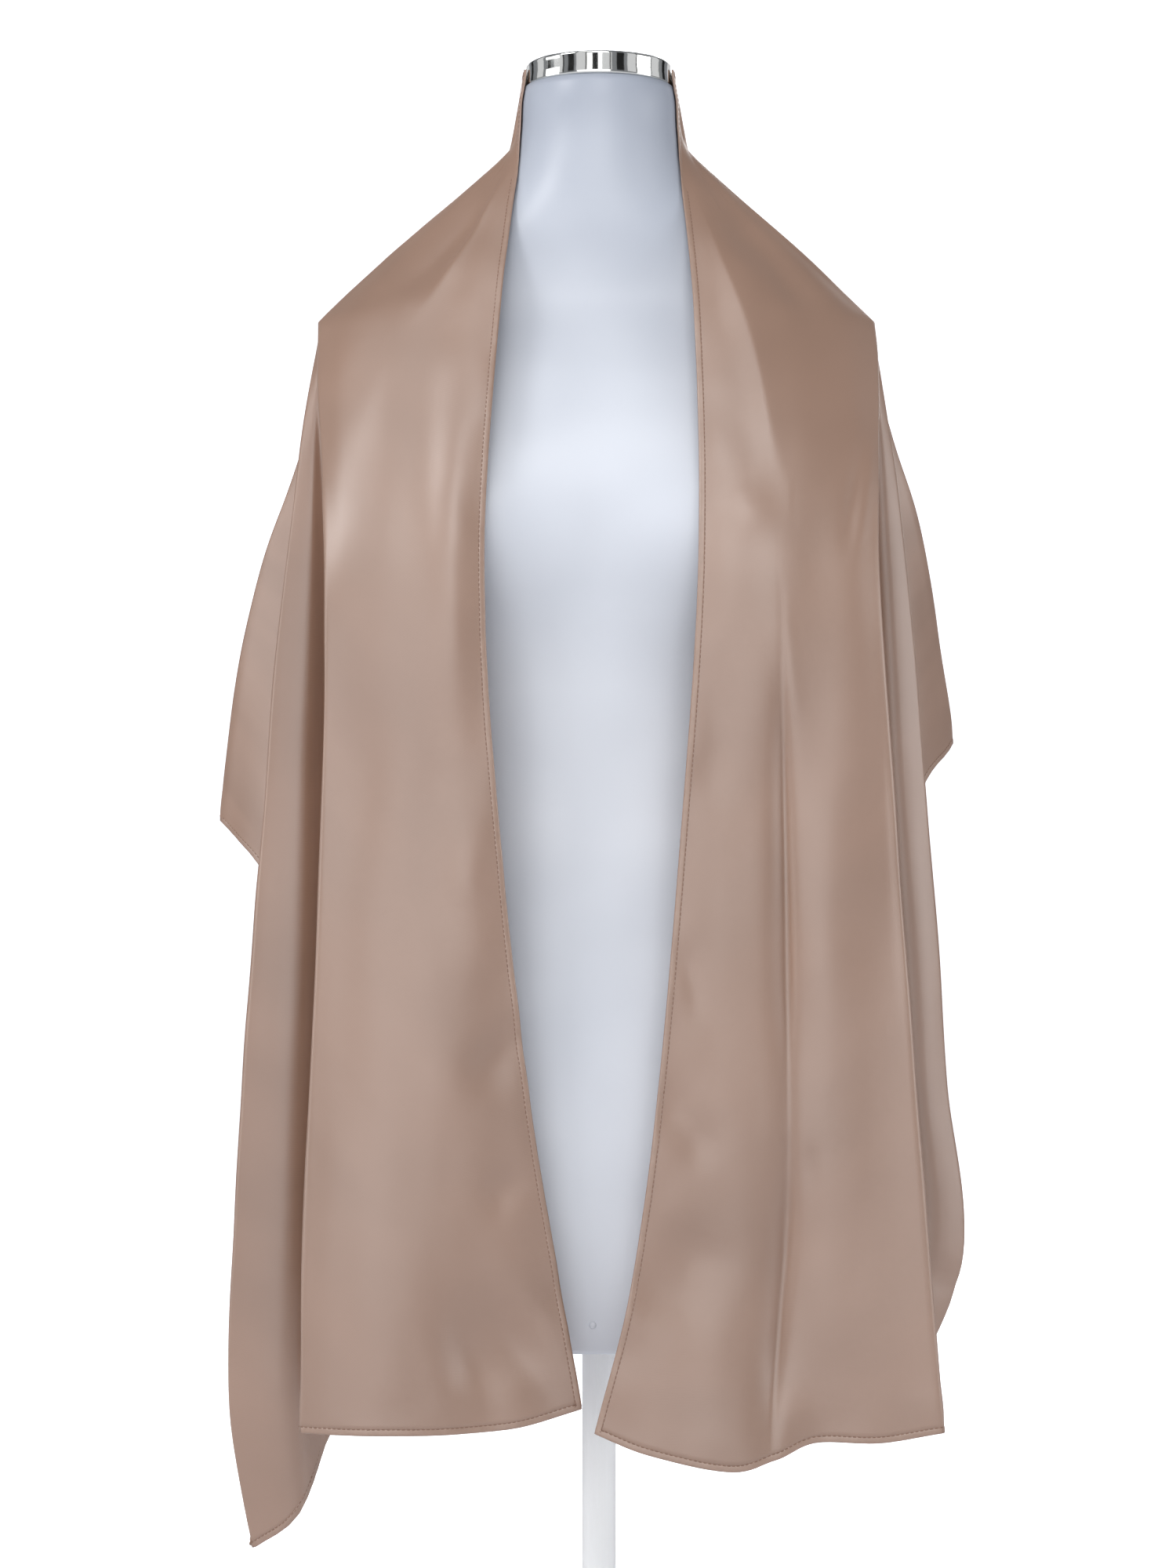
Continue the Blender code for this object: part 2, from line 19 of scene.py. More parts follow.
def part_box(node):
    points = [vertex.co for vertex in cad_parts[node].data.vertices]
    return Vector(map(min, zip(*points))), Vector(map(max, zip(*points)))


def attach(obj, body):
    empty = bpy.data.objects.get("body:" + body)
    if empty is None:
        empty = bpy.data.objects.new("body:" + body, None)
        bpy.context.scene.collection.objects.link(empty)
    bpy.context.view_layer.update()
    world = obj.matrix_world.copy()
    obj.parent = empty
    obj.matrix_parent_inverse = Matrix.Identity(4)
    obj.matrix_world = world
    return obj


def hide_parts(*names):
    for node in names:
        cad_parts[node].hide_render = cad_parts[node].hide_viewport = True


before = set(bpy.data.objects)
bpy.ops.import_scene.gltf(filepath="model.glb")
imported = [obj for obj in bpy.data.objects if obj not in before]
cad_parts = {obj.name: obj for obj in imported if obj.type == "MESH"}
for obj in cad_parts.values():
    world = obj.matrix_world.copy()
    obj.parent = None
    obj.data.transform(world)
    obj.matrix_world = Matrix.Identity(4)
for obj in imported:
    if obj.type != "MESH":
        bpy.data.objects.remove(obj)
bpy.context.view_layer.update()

log = logging.getLogger("satin_scarf")

ROOT = "root"
MM = 0.001
Material = bpy.types.Material
Tree = bpy.types.NodeTree
Node = bpy.types.Node


def linear(hex_colour: str) -> tuple[float, float, float, float]:
    """Turns an sRGB hex colour to the linear values that shaders take.

    Args:
        hex_colour: six hex digits after a hash.

    Returns:
        Red, green, blue and an alpha of 1.
    """
    values = []
    for k in (1, 3, 5):
        channel = int(hex_colour[k:k + 2], 16) / 255
        values.append(channel / 12.92 if channel <= 0.04045 else ((channel + 0.055) / 1.055) ** 2.4)
    return values[0], values[1], values[2], 1.0


def add_node(tree: Tree, kind: str, settings: dict | None = None, links: dict | None = None) -> Node:
    """Adds one node to a tree.

    Args:
        tree: the material's or world's node tree.
        kind: the node's Blender type.
        settings: values by the name or number of a socket, or by the name of a property of the node.
        links: output sockets by the name or number of the input that each feeds.

    Returns:
        The new node.
    """
    node = tree.nodes.new(kind)
    for name, value in (settings or {}).items():
        if isinstance(name, int) or name in node.inputs:
            node.inputs[name].default_value = value
        else:
            setattr(node, name, value)
    for name, socket in (links or {}).items():
        tree.links.new(socket, node.inputs[name])
    return node


def per_metre(size_mm: float) -> float:
    """The scale of a noise pattern whose grains are size_mm across."""
    return 1 / (size_mm * MM)


def bands_per_metre(size_mm: float) -> float:
    """The scale of a wave pattern whose bands are size_mm apart."""
    return 2 * math.pi / 20 / (size_mm * MM)


def raise_grain(tree: Tree, size_mm: float, detail: float, strength: float, depth_mm: float) -> tuple:
    """Raises a fine, even grain on a surface, in the object's own space.

    Args:
        tree: the material's node tree.
        size_mm: how far apart the grains lie.
        detail: how many finer layers they carry.
        strength: how much of the relief shows.
        depth_mm: how deep it is.

    Returns:
        The output that holds the grain, and the one that holds the normal.
    """
    place = add_node(tree, "ShaderNodeTexCoord").outputs["Object"]
    grain = add_node(tree, "ShaderNodeTexNoise", {"Scale": per_metre(size_mm), "Detail": detail},
                     {"Vector": place}).outputs["Fac"]
    relief = add_node(tree, "ShaderNodeBump", {"Strength": strength, "Distance": depth_mm * MM},
                      {"Height": grain})
    return grain, relief.outputs["Normal"]


def new_object(name: str, points: np.ndarray, faces: list, material: Material) -> bpy.types.Object:
    """Makes a mesh object and puts it in the scene.

    Args:
        name: the object's name.
        points: one row of x, y, z for each point.
        faces: tuples of point numbers.
        material: what it is finished with.

    Returns:
        The new object.
    """
    mesh = bpy.data.meshes.new(name)
    mesh.from_pydata(np.asarray(points, float).tolist(), [], faces)
    mesh.shade_smooth()
    mesh.materials.append(material)
    made = bpy.data.objects.new(name, mesh)
    bpy.context.scene.collection.objects.link(made)
    return made


def add_piece(name: str, points: np.ndarray, faces: list, material: Material, slot: str) -> bpy.types.Object:
    """Makes a smooth mesh piece that rides on the part.

    Args:
        name: the piece's name.
        points: one row of x, y, z for each point.
        faces: tuples of point numbers.
        material: what the piece is finished with.
        slot: the record's material slot; not used.

    Returns:
        The new object.
    """
    piece = new_object(name, points, faces, material)
    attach(piece, ROOT)
    return piece


def smooth_curve(knots: np.ndarray, values: np.ndarray, at: np.ndarray,
                 corners: np.ndarray | None = None) -> np.ndarray:
    """A smooth cubic curve through values, with slopes from each knot's two neighbours.

    Args:
        knots: rising parameters, one for each value.
        values: an array with one row for each knot.
        at: the parameters to read the curve at.
        corners: for each knot, how much of the smoothing is left out there, from 0 to 1.

    Returns:
        One row for each parameter in at.
    """
    knots = np.asarray(knots, float)
    values = np.asarray(values, float).reshape(len(knots), -1)
    at = np.clip(np.asarray(at, float), knots[0], knots[-1])
    last = len(knots) - 1
    i = np.clip(np.searchsorted(knots, at, side="left") - 1, 0, last - 1)
    corners = np.zeros(last + 1) if corners is None else np.asarray(corners, float)
    low = np.maximum(np.arange(last + 1) - 1, 0)
    high = np.minimum(np.arange(last + 1) + 1, last)
    slopes = (values[high] - values[low]) / (knots[high] - knots[low])[:, None]
    width = (knots[i + 1] - knots[i])[:, None]
    own = (values[i + 1] - values[i]) / width
    start = slopes[i] + (own - slopes[i]) * corners[i][:, None]
    end = slopes[i + 1] + (own - slopes[i + 1]) * corners[i + 1][:, None]
    t = (at - knots[i])[:, None] / width
    square = t * t
    cube = square * t
    return (
        values[i] * (2 * cube - 3 * square + 1)
        + start * (width * (cube - 2 * square + t))
        + values[i + 1] * (3 * square - 2 * cube)
        + end * (width * (cube - square))
    )


def ease(share: np.ndarray) -> np.ndarray:
    """Rises smoothly from 0 to 1 as share does."""
    share = np.clip(share, 0, 1)
    return share * share * (3 - 2 * share)


def lengths_along(points: np.ndarray) -> np.ndarray:
    """The distance along a path, from its first point to each of its points."""
    return np.concatenate([[0], np.cumsum(np.linalg.norm(np.diff(points, axis=0), axis=1))])


def share_out(knots: np.ndarray, counts: list) -> list:
    """Parts each stretch between two knots evenly.

    Args:
        knots: rising parameters.
        counts: how many parts each stretch is cut into.

    Returns:
        Where each part starts, and the last knot.
    """
    at = []
    for i, count in enumerate(counts):
        at += [knots[i] + (knots[i + 1] - knots[i]) * k / count for k in range(count)]
    return [*at, knots[-1]]


class Finish:
    """What every finish shares: one material, named for what the real surface is."""

    NAME = ""

    def shader(self, tree: Tree) -> Node:
        """The shader's node, which each finish makes for itself."""
        raise NotImplementedError

    def make(self) -> Material:
        """The material, with the finish's own shader on its output.

        Returns:
            The material.
        """
        material = bpy.data.materials.new(self.NAME)
        material.use_nodes = True
        tree = material.node_tree
        tree.nodes.clear()
        add_node(tree, "ShaderNodeOutputMaterial", None, {0: self.shader(tree).outputs[0]})
        return material


@dataclass(frozen=True)
class SatinWeave(Finish):
    """Polyester satin, woven and steamed: long floats give a soft, broad gloss over a dusty rose."""

    NAME = "satin_weave"
    cloth: str = "#997661"
    shade: str = "#8F6D58"
    lint: str = "#F0DDD2"
    pick_mm: float = 0.9
    pucker_mm: float = 9.0
    cloud_mm: float = 120.0
    roughness: float = 0.44

    def shader(self, tree: Tree) -> Node:
        """Clouds of tone under puckers and picks, all read in metres along the cloth.

        Args:
            tree: the material's node tree.

        Returns:
            The shader's node.
        """
        along = add_node(tree, "ShaderNodeUVMap", {"uv_map": Scarf.MAP}).outputs["UV"]
        clouds = add_node(tree, "ShaderNodeTexNoise",
                          {"Scale": per_metre(self.cloud_mm), "Detail": 2.0}, {"Vector": along})
        steps = add_node(tree, "ShaderNodeMapRange",
                         {"From Min": 0.3, "From Max": 0.6}, {"Value": clouds.outputs["Fac"]})
        tone = add_node(tree, "ShaderNodeMix",
                        {"data_type": "RGBA", 6: linear(self.shade), 7: linear(self.cloth)},
                        {0: steps.outputs["Result"]})
        # Real picks are a fifth of a millimetre apart, too fine for the picture; these are drawn coarser.
        picks = add_node(tree, "ShaderNodeTexWave",
                         {"bands_direction": "Y", "Scale": bands_per_metre(self.pick_mm),
                          "Distortion": 1.4, "Detail": 1.5}, {"Vector": along})
        ripples = add_node(tree, "ShaderNodeTexNoise",
                           {"Scale": per_metre(self.pucker_mm), "Detail": 3.0}, {"Vector": along})
        weave = add_node(tree, "ShaderNodeBump", {"Strength": 0.10, "Distance": 0.12 * MM},
                         {"Height": picks.outputs["Fac"]})
        surface = add_node(tree, "ShaderNodeBump", {"Strength": 0.10, "Distance": 0.6 * MM},
                           {"Height": ripples.outputs["Fac"], "Normal": weave.outputs["Normal"]})
        return add_node(tree, "ShaderNodeBsdfPrincipled",
                        {"Roughness": self.roughness, "IOR": 1.74, "Specular IOR Level": 1.0,
                         "Sheen Weight": 0.08, "Sheen Roughness": 0.45, "Sheen Tint": linear(self.lint)},
                        {"Base Color": tone.outputs[2], "Normal": surface.outputs["Normal"]})


@dataclass(frozen=True)
class TurnedHem(Finish):
    """The same satin, turned twice and pressed, three layers deep; its colour is lighter than the cloth's as
    a painted highlight along the edge.
    """

    NAME = "turned_satin_hem"
    # Painted highlight: the hem's colour is lighter than the cloth's.
    cloth: str = "#9E7C67"
    shade: str = "#8F6D58"
    pucker_mm: float = 4.0
    roughness: float = 0.45

    def shader(self, tree: Tree) -> Node:
        """Satin that is drawn up in small puckers along its stitching.

        Args:
            tree: the material's node tree.

        Returns:
            The shader's node.
        """
        puckers, normal = raise_grain(tree, self.pucker_mm, 2.0, 0.35, 0.4)
        tone = add_node(tree, "ShaderNodeMix",
                        {"data_type": "RGBA", 6: linear(self.shade), 7: linear(self.cloth)}, {0: puckers})
        return add_node(tree, "ShaderNodeBsdfPrincipled",
                        {"Roughness": self.roughness, "IOR": 1.74, "Specular IOR Level": 1.0,
                         "Sheen Weight": 0.08, "Sheen Roughness": 0.45},
                        {"Base Color": tone.outputs[2], "Normal": normal})


@dataclass(frozen=True)
class SpunThread(Finish):
    """Spun polyester sewing thread with a matt twist, coloured a shade darker than the cloth as painted shade
    for the stitch holes.
    """

    NAME = "spun_sewing_thread"
    # Painted shade: the thread is darker than the cloth, standing in for the shade in the stitch holes.
    colour: str = "#8A6C5C"
    twist_mm: float = 0.4
    roughness: float = 0.6

    def shader(self, tree: Tree) -> Node:
        """A matt thread with its twist in relief.

        Args:
            tree: the material's node tree.

        Returns:
            The shader's node.
        """
        _, normal = raise_grain(tree, self.twist_mm, 2.0, 0.4, 0.1)
        return add_node(tree, "ShaderNodeBsdfPrincipled",
                        {"Base Color": linear(self.colour), "Roughness": self.roughness}, {"Normal": normal})


@dataclass(frozen=True)
class SprayedShell(Finish):
    """Moulded glass-fibre shell, sprayed with cool white gloss paint over a faintly brushed filler."""

    NAME = "sprayed_shell"
    paint: str = "#F3F7FF"
    shade: str = "#A0A7B5"
    brush_mm: float = 1.6
    brush_run: float = 14.0
    cloud_mm: float = 160.0
    # Painted shade: between these heights the paint darkens towards the neck, standing in for the shade that
    # falls there.
    neck_shade_from: float = 0.62
    neck_shade_top: float = 0.98
    roughness: float = 0.40

    def shader(self, tree: Tree) -> Node:
        """Paint over level brush marks, with painted shade by height: darker at the neck, lighter lower down.

        Args:
            tree: the material's node tree.

        Returns:
            The shader's node.
        """
        place = add_node(tree, "ShaderNodeTexCoord").outputs["Object"]
        drawn = add_node(tree, "ShaderNodeMapping", {"Scale": (1.0, 1.0, 1 / self.brush_run)},
                         {"Vector": place})
        brushed = add_node(tree, "ShaderNodeTexNoise",
                           {"Scale": per_metre(self.brush_mm), "Detail": 3.0},
                           {"Vector": drawn.outputs[0]})
        clouds = add_node(tree, "ShaderNodeTexNoise", {"Scale": per_metre(self.cloud_mm)},
                          {"Vector": place})
        height = add_node(tree, "ShaderNodeSeparateXYZ", None, {0: place})
        # Painted shade: the paint is mixed towards its darker tone by height alone, darkest at the neck, on
        # top of the random clouds.
        painted_neck_shade = add_node(tree, "ShaderNodeMapRange",
                           {"From Min": self.neck_shade_top, "From Max": self.neck_shade_from,
                            "To Min": -0.35, "To Max": 0.35}, {"Value": height.outputs["Z"]})
        clouds_and_neck_shade = add_node(tree, "ShaderNodeMath", {"operation": "ADD", "use_clamp": True},
                          {0: clouds.outputs["Fac"], 1: painted_neck_shade.outputs["Result"]})
        tone = add_node(tree, "ShaderNodeMix",
                        {"data_type": "RGBA", 6: linear(self.shade), 7: linear(self.paint)},
                        {0: clouds_and_neck_shade.outputs["Value"]})
        surface = add_node(tree, "ShaderNodeBump", {"Strength": 0.10, "Distance": 0.15 * MM},
                           {"Height": brushed.outputs["Fac"]})
        return add_node(tree, "ShaderNodeBsdfPrincipled",
                        {"Roughness": self.roughness, "IOR": 1.5, "Coat Weight": 0.10,
                         "Coat Roughness": 0.25},
                        {"Base Color": tone.outputs[2], "Normal": surface.outputs["Normal"]})


@dataclass(frozen=True)
class BrightChrome(Finish):
    """Spun steel, polished and chrome plated: a mirror with the faintest turning marks."""

    NAME = "bright_chrome"
    metal: str = "#E3E4E2"
    turning_mm: float = 0.8

    def shader(self, tree: Tree) -> Node:
        """A mirror whose roughness follows the turning marks.

        Args:
            tree: the material's node tree.

        Returns:
            The shader's node.
        """
        place = add_node(tree, "ShaderNodeTexCoord").outputs["Object"]
        marks = add_node(tree, "ShaderNodeTexNoise",
                         {"Scale": per_metre(self.turning_mm), "Detail": 2.0}, {"Vector": place})
        smears = add_node(tree, "ShaderNodeMapRange", {"To Min": 0.04, "To Max": 0.10},
                          {"Value": marks.outputs["Fac"]})
        return add_node(tree, "ShaderNodeBsdfPrincipled",
                        {"Base Color": linear(self.metal), "Metallic": 1.0},
                        {"Roughness": smears.outputs["Result"]})


@dataclass(frozen=True)
class PowderCoat(Finish):
    """White polyester powder, baked on steel: an even half gloss with a fine orange peel."""

    NAME = "white_powder_coat"
    colour: str = "#F4F5F6"
    peel_mm: float = 1.2
    roughness: float = 0.38

    def shader(self, tree: Tree) -> Node:
        """A half gloss with its orange peel in relief.

        Args:
            tree: the material's node tree.

        Returns:
            The shader's node.
        """
        _, normal = raise_grain(tree, self.peel_mm, 1.0, 0.25, 0.1)
        return add_node(tree, "ShaderNodeBsdfPrincipled",
                        {"Base Color": linear(self.colour), "Roughness": self.roughness,
                         "Coat Weight": 0.2, "Coat Roughness": 0.2}, {"Normal": normal})


@dataclass(frozen=True)
class DiffuserCloth(Finish):
    """White diffuser cloth on a frame, lit from behind."""

    NAME = "diffuser_cloth"
    colour: str = "#FDFDFF"
    glow: float = 0.75

    def shader(self, tree: Tree) -> Node:
        """An even glow."""
        return add_node(tree, "ShaderNodeEmission", {"Color": linear(self.colour), "Strength": self.glow})


@dataclass(frozen=True)
class BlackFlock(Finish):
    """Black flocked cloth on a frame, which keeps light off."""

    NAME = "black_flock"
    colour: str = "#141414"

    def shader(self, tree: Tree) -> Node:
        """A flat black."""
        return add_node(tree, "ShaderNodeBsdfPrincipled",
                        {"Base Color": linear(self.colour), "Roughness": 0.95})


@dataclass(frozen=True)
class MattPaper(Finish):
    """Seamless studio paper, matt and near white, and lit evenly where the camera sees it."""

    NAME = "matt_paper"
    colour: str = "#E4E5E8"
    lit: str = "#F6F7F9"
    evenness: float = 0.88
    fibre_mm: float = 3.0

    def shader(self, tree: Tree) -> Node:
        """Matt paper with a faint fibre, and a glow that only the camera sees.

        Args:
            tree: the material's node tree.

        Returns:
            The shader's node.
        """
        _, normal = raise_grain(tree, self.fibre_mm, 2.0, 0.05, 0.2)
        seen = add_node(tree, "ShaderNodeLightPath")
        even = add_node(tree, "ShaderNodeMath", {"operation": "MULTIPLY", 1: self.evenness},
                        {0: seen.outputs["Is Camera Ray"]})
        return add_node(tree, "ShaderNodeBsdfPrincipled",
                        {"Base Color": linear(self.colour), "Roughness": 0.9,
                         "Emission Color": linear(self.lit)},
                        {"Normal": normal, "Emission Strength": even.outputs["Value"]})


class FormSection(NamedTuple):
    """One level of the dress form: its height, half width, and how far it reaches in front and behind."""

    z: float
    half_width: float
    front: float
    back: float


@dataclass
class DressForm:
    """The limbless torso that the cloth rests on, moulded in one shell."""

    bottom: float = 0.208
    top: float = 1.0132
    torso_squareness: float = 2.3
    neck_squareness: float = 2.0
    neck_from: float = 0.95
    torso_to: float = 0.88
    bust_height: float = 0.722
    bust_apart: float = 0.083
    bust_swell: float = 0.024
    bust_width: float = 0.046
    bust_tall: float = 0.055
    bust_blend: float = 1.6
    sides: int = 160
    level_step: float = 0.006
    inset: float = 0.0002
    edge_round: float = 0.003
    plug_place: tuple[float, float] = (-0.0042, 0.227)
    plug_radius: float = 0.0024
    plug_sides: int = 24
    plug_profile: tuple[tuple[float, float], ...] = (
        (1.0, -0.0006), (0.85, 0.0006), (0.5, 0.0010), (0.05, 0.0011),
    )
    edge_shares: tuple[float, ...] = (1.0, 0.6, 0.25)
    sections: tuple[FormSection, ...] = (
        FormSection(0.208, 0.150, -0.096, 0.110),
        FormSection(0.260, 0.158, -0.101, 0.119),
        FormSection(0.330, 0.162, -0.104, 0.124),
        FormSection(0.400, 0.156, -0.103, 0.117),
        FormSection(0.470, 0.140, -0.096, 0.099),
        FormSection(0.545, 0.122, -0.088, 0.083),
        FormSection(0.610, 0.125, -0.091, 0.083),
        FormSection(0.670, 0.138, -0.098, 0.091),
        FormSection(0.725, 0.147, -0.103, 0.098),
        FormSection(0.775, 0.154, -0.096, 0.102),
        FormSection(0.815, 0.167, -0.082, 0.099),
        FormSection(0.840, 0.1740, -0.068, 0.090),
        FormSection(0.856, 0.1705, -0.060, 0.082),
        FormSection(0.871, 0.1575, -0.055, 0.074),
        FormSection(0.886, 0.1395, -0.053, 0.068),
        FormSection(0.901, 0.1190, -0.052, 0.064),
        FormSection(0.918, 0.0920, -0.052, 0.060),
        FormSection(0.940, 0.0670, -0.051, 0.056),
        FormSection(0.962, 0.0555, -0.050, 0.052),
        FormSection(0.985, 0.0512, -0.049, 0.0508),
        FormSection(1.004, 0.0504, -0.0495, 0.0504),
        FormSection(1.0132, 0.0488, -0.0478, 0.0488),
    )

    def shape_at(self, z: np.ndarray) -> tuple[np.ndarray, np.ndarray, np.ndarray, np.ndarray]:
        """Reads the table of sections at some heights.

        Args:
            z: the heights.

        Returns:
            The half width, the reach in front (negative), the reach behind, and the outline's power.
        """
        table = np.array(self.sections)
        read = smooth_curve(table[:, 0], table[:, 1:], z)
        share = np.clip((self.neck_from - z) / (self.neck_from - self.torso_to), 0, 1)
        power = self.neck_squareness + (self.torso_squareness - self.neck_squareness) * share
        return read[:, 0], read[:, 1], read[:, 2], power

    def swell_at(self, x: np.ndarray, z: np.ndarray) -> np.ndarray:
        """How far the bust stands out in front of the form's plain section.

        Args:
            x: distances to the side.
            z: the heights.

        Returns:
            The swell at each place.
        """
        aside = (np.abs(x) - self.bust_apart) / self.bust_width
        above = (z - self.bust_height) / self.bust_tall
        return self.bust_swell * np.exp(-aside * aside - above * above)

    def ring(self, z: float) -> np.ndarray:
        """One level ring of points round the form.

        Args:
            z: the ring's height.

        Returns:
            One row of x, y, z for each side.
        """
        half_width, front, back, power = (read[0] for read in self.shape_at(np.array([z])))
        angle = 2 * np.pi * np.arange(self.sides) / self.sides
        c, s = np.cos(angle), np.sin(angle)
        x = half_width * np.sign(c) * np.abs(c) ** (2 / power)
        depth = np.where(s > 0, back, -front)
        y = depth * np.sign(s) * np.abs(s) ** (2 / power)
        swell = self.swell_at(x, z) * np.minimum(1, y / front * self.bust_blend)
        y = np.where(y < 0, y - swell, y)
        return np.column_stack([x, y, np.full(self.sides, z)])

    def push_out(self, points: np.ndarray, gap: float) -> np.ndarray:
        """Moves points outwards at their own height until they lie at least a gap off the form.

        Args:
            points: an array of x, y, z rows.
            gap: the least distance.

        Returns:
            The moved points, in the same shape.
        """
        flat = points.reshape(-1, 3).copy()
        half_width, front, back, power = self.shape_at(flat[:, 2])
        depth = np.where(flat[:, 1] > 0, back, -front)
        depth = depth + np.where(flat[:, 1] < 0, self.swell_at(flat[:, 0], flat[:, 2]), 0)
        across = np.abs(flat[:, 0] / half_width)
        share = (across ** power + np.abs(flat[:, 1] / depth) ** power) ** (1 / power)
        reach = np.hypot(flat[:, 0], flat[:, 1]) / np.maximum(share, 1e-6)
        need = (reach + gap) / np.maximum(reach, 1e-6)
        near = (flat[:, 2] >= self.bottom) & (flat[:, 2] <= self.top) & (share < need)
        scale = np.where(near, need / np.maximum(share, 1e-6), 1.0)
        flat[:, :2] *= scale[:, None]
        return flat.reshape(points.shape)

    def build(self, shell: Material) -> list:
        """Builds the torso and the small plug low on its front.

        Args:
            shell: the material.

        Returns:
            The pieces.
        """
        levels = np.arange(self.bottom + self.edge_round, self.top, self.level_step)
        rings = []
        for share in self.edge_shares:
            ring = self.ring(self.bottom)
            ring[:, :2] *= 1 - share * share * self.edge_round / np.hypot(ring[:, 0], ring[:, 1])[:, None]
            ring[:, 2] += (1 - share) * self.edge_round
            rings.append(ring)
        rings += [self.ring(z) for z in levels]
        rings.append(self.ring(self.top))
        for ring in rings:
            ring[:, :2] *= 1 - self.inset / np.hypot(ring[:, 0], ring[:, 1])[:, None]
        torso = add_piece("dress_form", *stack(rings), shell, "form_shell")
        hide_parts("form_torso")
        x, z = self.plug_place
        front = self.front_at(x, z)
        rings = []
        for share, out in self.plug_profile:
            ring = circle(self.plug_radius * share, 0, self.plug_sides)
            level = np.full(self.plug_sides, front - out)
            rings.append(np.column_stack([x + ring[:, 0], level, z + ring[:, 1]]))
        plug = add_piece("form_plug", *stack(rings), shell, "form_shell")
        return [torso, plug]

    def front_at(self, x: float, z: float) -> float:
        """Finds the form's front surface at a place near its middle.

        Args:
            x: the place's distance to the side.
            z: its height.

        Returns:
            The surface's y.
        """
        ring = self.ring(z)
        front = ring[ring[:, 1] < 0]
        return float(front[np.argmin(np.abs(front[:, 0] - x)), 1])


def circle(radius: float, z: float, sides: int) -> np.ndarray:
    """A level ring of points round the axis.

    Args:
        radius: the ring's radius.
        z: its height.
        sides: how many points.

    Returns:
        One row of x, y, z for each point.
    """
    angle = 2 * np.pi * np.arange(sides) / sides
    return np.column_stack([radius * np.cos(angle), radius * np.sin(angle), np.full(sides, z)])


def band_faces(rings: int, sides: int, closed: bool = False, start: int = 0) -> list:
    """The faces between rings of points.

    Args:
        rings: how many rings there are.
        sides: how many points each has.
        closed: whether the last ring joins the first.
        start: the first point's number.

    Returns:
        The faces.
    """
    faces = []
    for r in range(rings if closed else rings - 1):
        low = start + r * sides
        high = start + (r + 1) % rings * sides
        for c in range(sides):
            d = (c + 1) % sides
            faces.append((low + c, low + d, high + d, high + c))
    return faces


def skin_faces(rings: int, sides: int, start: int = 0) -> list:
    """The faces of a closed skin over rings of points, lowest first.

    Args:
        rings: how many rings there are.
        sides: how many points each has.
        start: the first point's number.

    Returns:
        The faces.
    """
    top = start + (rings - 1) * sides
    ends = [tuple(range(start, start + sides))[::-1], tuple(range(top, top + sides))]
    return band_faces(rings, sides, start=start) + ends


def stack(rings: list) -> tuple[np.ndarray, list]:
    """Joins rings of equal count, lowest first, into the points and faces of a closed skin."""
    return np.vstack(rings), skin_faces(len(rings), len(rings[0]))


@dataclass
class NeckCap:
    """The chrome cap that closes the neck: a spun rim with a bead, and a shallow turned top."""

    radius: float = 0.0478
    sharp_over: float = 50.0
    sides: int = 128
    profile: tuple[tuple[float, float], ...] = (
        (-0.0030, 0.0), (-0.0010, 0.0001), (-0.0002, 0.0006), (0.0, 0.0014), (-0.0001, 0.0060),
        (-0.0001, 0.0110), (-0.0001, 0.0126), (0.0, 0.0132), (-0.0003, 0.0140), (-0.0009, 0.0145),
        (-0.0018, 0.0148), (-0.0030, 0.0148), (-0.0038, 0.0145), (-0.0044, 0.0139), (-0.0060, 0.0136),
        (-0.0200, 0.0141), (-0.0340, 0.0144), (-0.0450, 0.0145),
    )

    def build(self, chrome: Material) -> list:
        """Builds the cap where the frame has it.

        Args:
            chrome: the material.

        Returns:
            The piece.
        """
        low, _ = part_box("neck_cap")
        rings = [circle(self.radius + out, low[2] + up, self.sides) for out, up in self.profile]
        cap = add_piece("chrome_cap", *stack(rings), chrome, "neck_cap")
        cap.data.set_sharp_from_angle(angle=math.radians(self.sharp_over))
        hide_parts("neck_cap")
        return [cap]


@dataclass
class Stand:
    """The base plate, pole and socket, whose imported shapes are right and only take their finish."""

    nodes: tuple[str, ...] = ("base_plate", "stand_pole", "form_socket")

    def dress(self, coat: Material) -> list:
        """Puts the finish on the stand's nodes.

        Args:
            coat: the material.

        Returns:
            The nodes' objects.
        """
        dressed = []
        for name in self.nodes:
            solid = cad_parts[name]
            for place in solid.material_slots:
                place.material = coat
            dressed.append(solid)
        return dressed


class Rib(NamedTuple):
    """A line down the cloth: its neck angle in degrees, then x and y, and at two levels z, in millimetres."""

    name: str
    fold: bool
    neck: float
    shoulder: tuple[float, float, float]
    bust: tuple[float, float]
    waist: tuple[float, float]
    hip: tuple[float, float]
    thigh: tuple[float, float]
    hem: tuple[float, float, float]


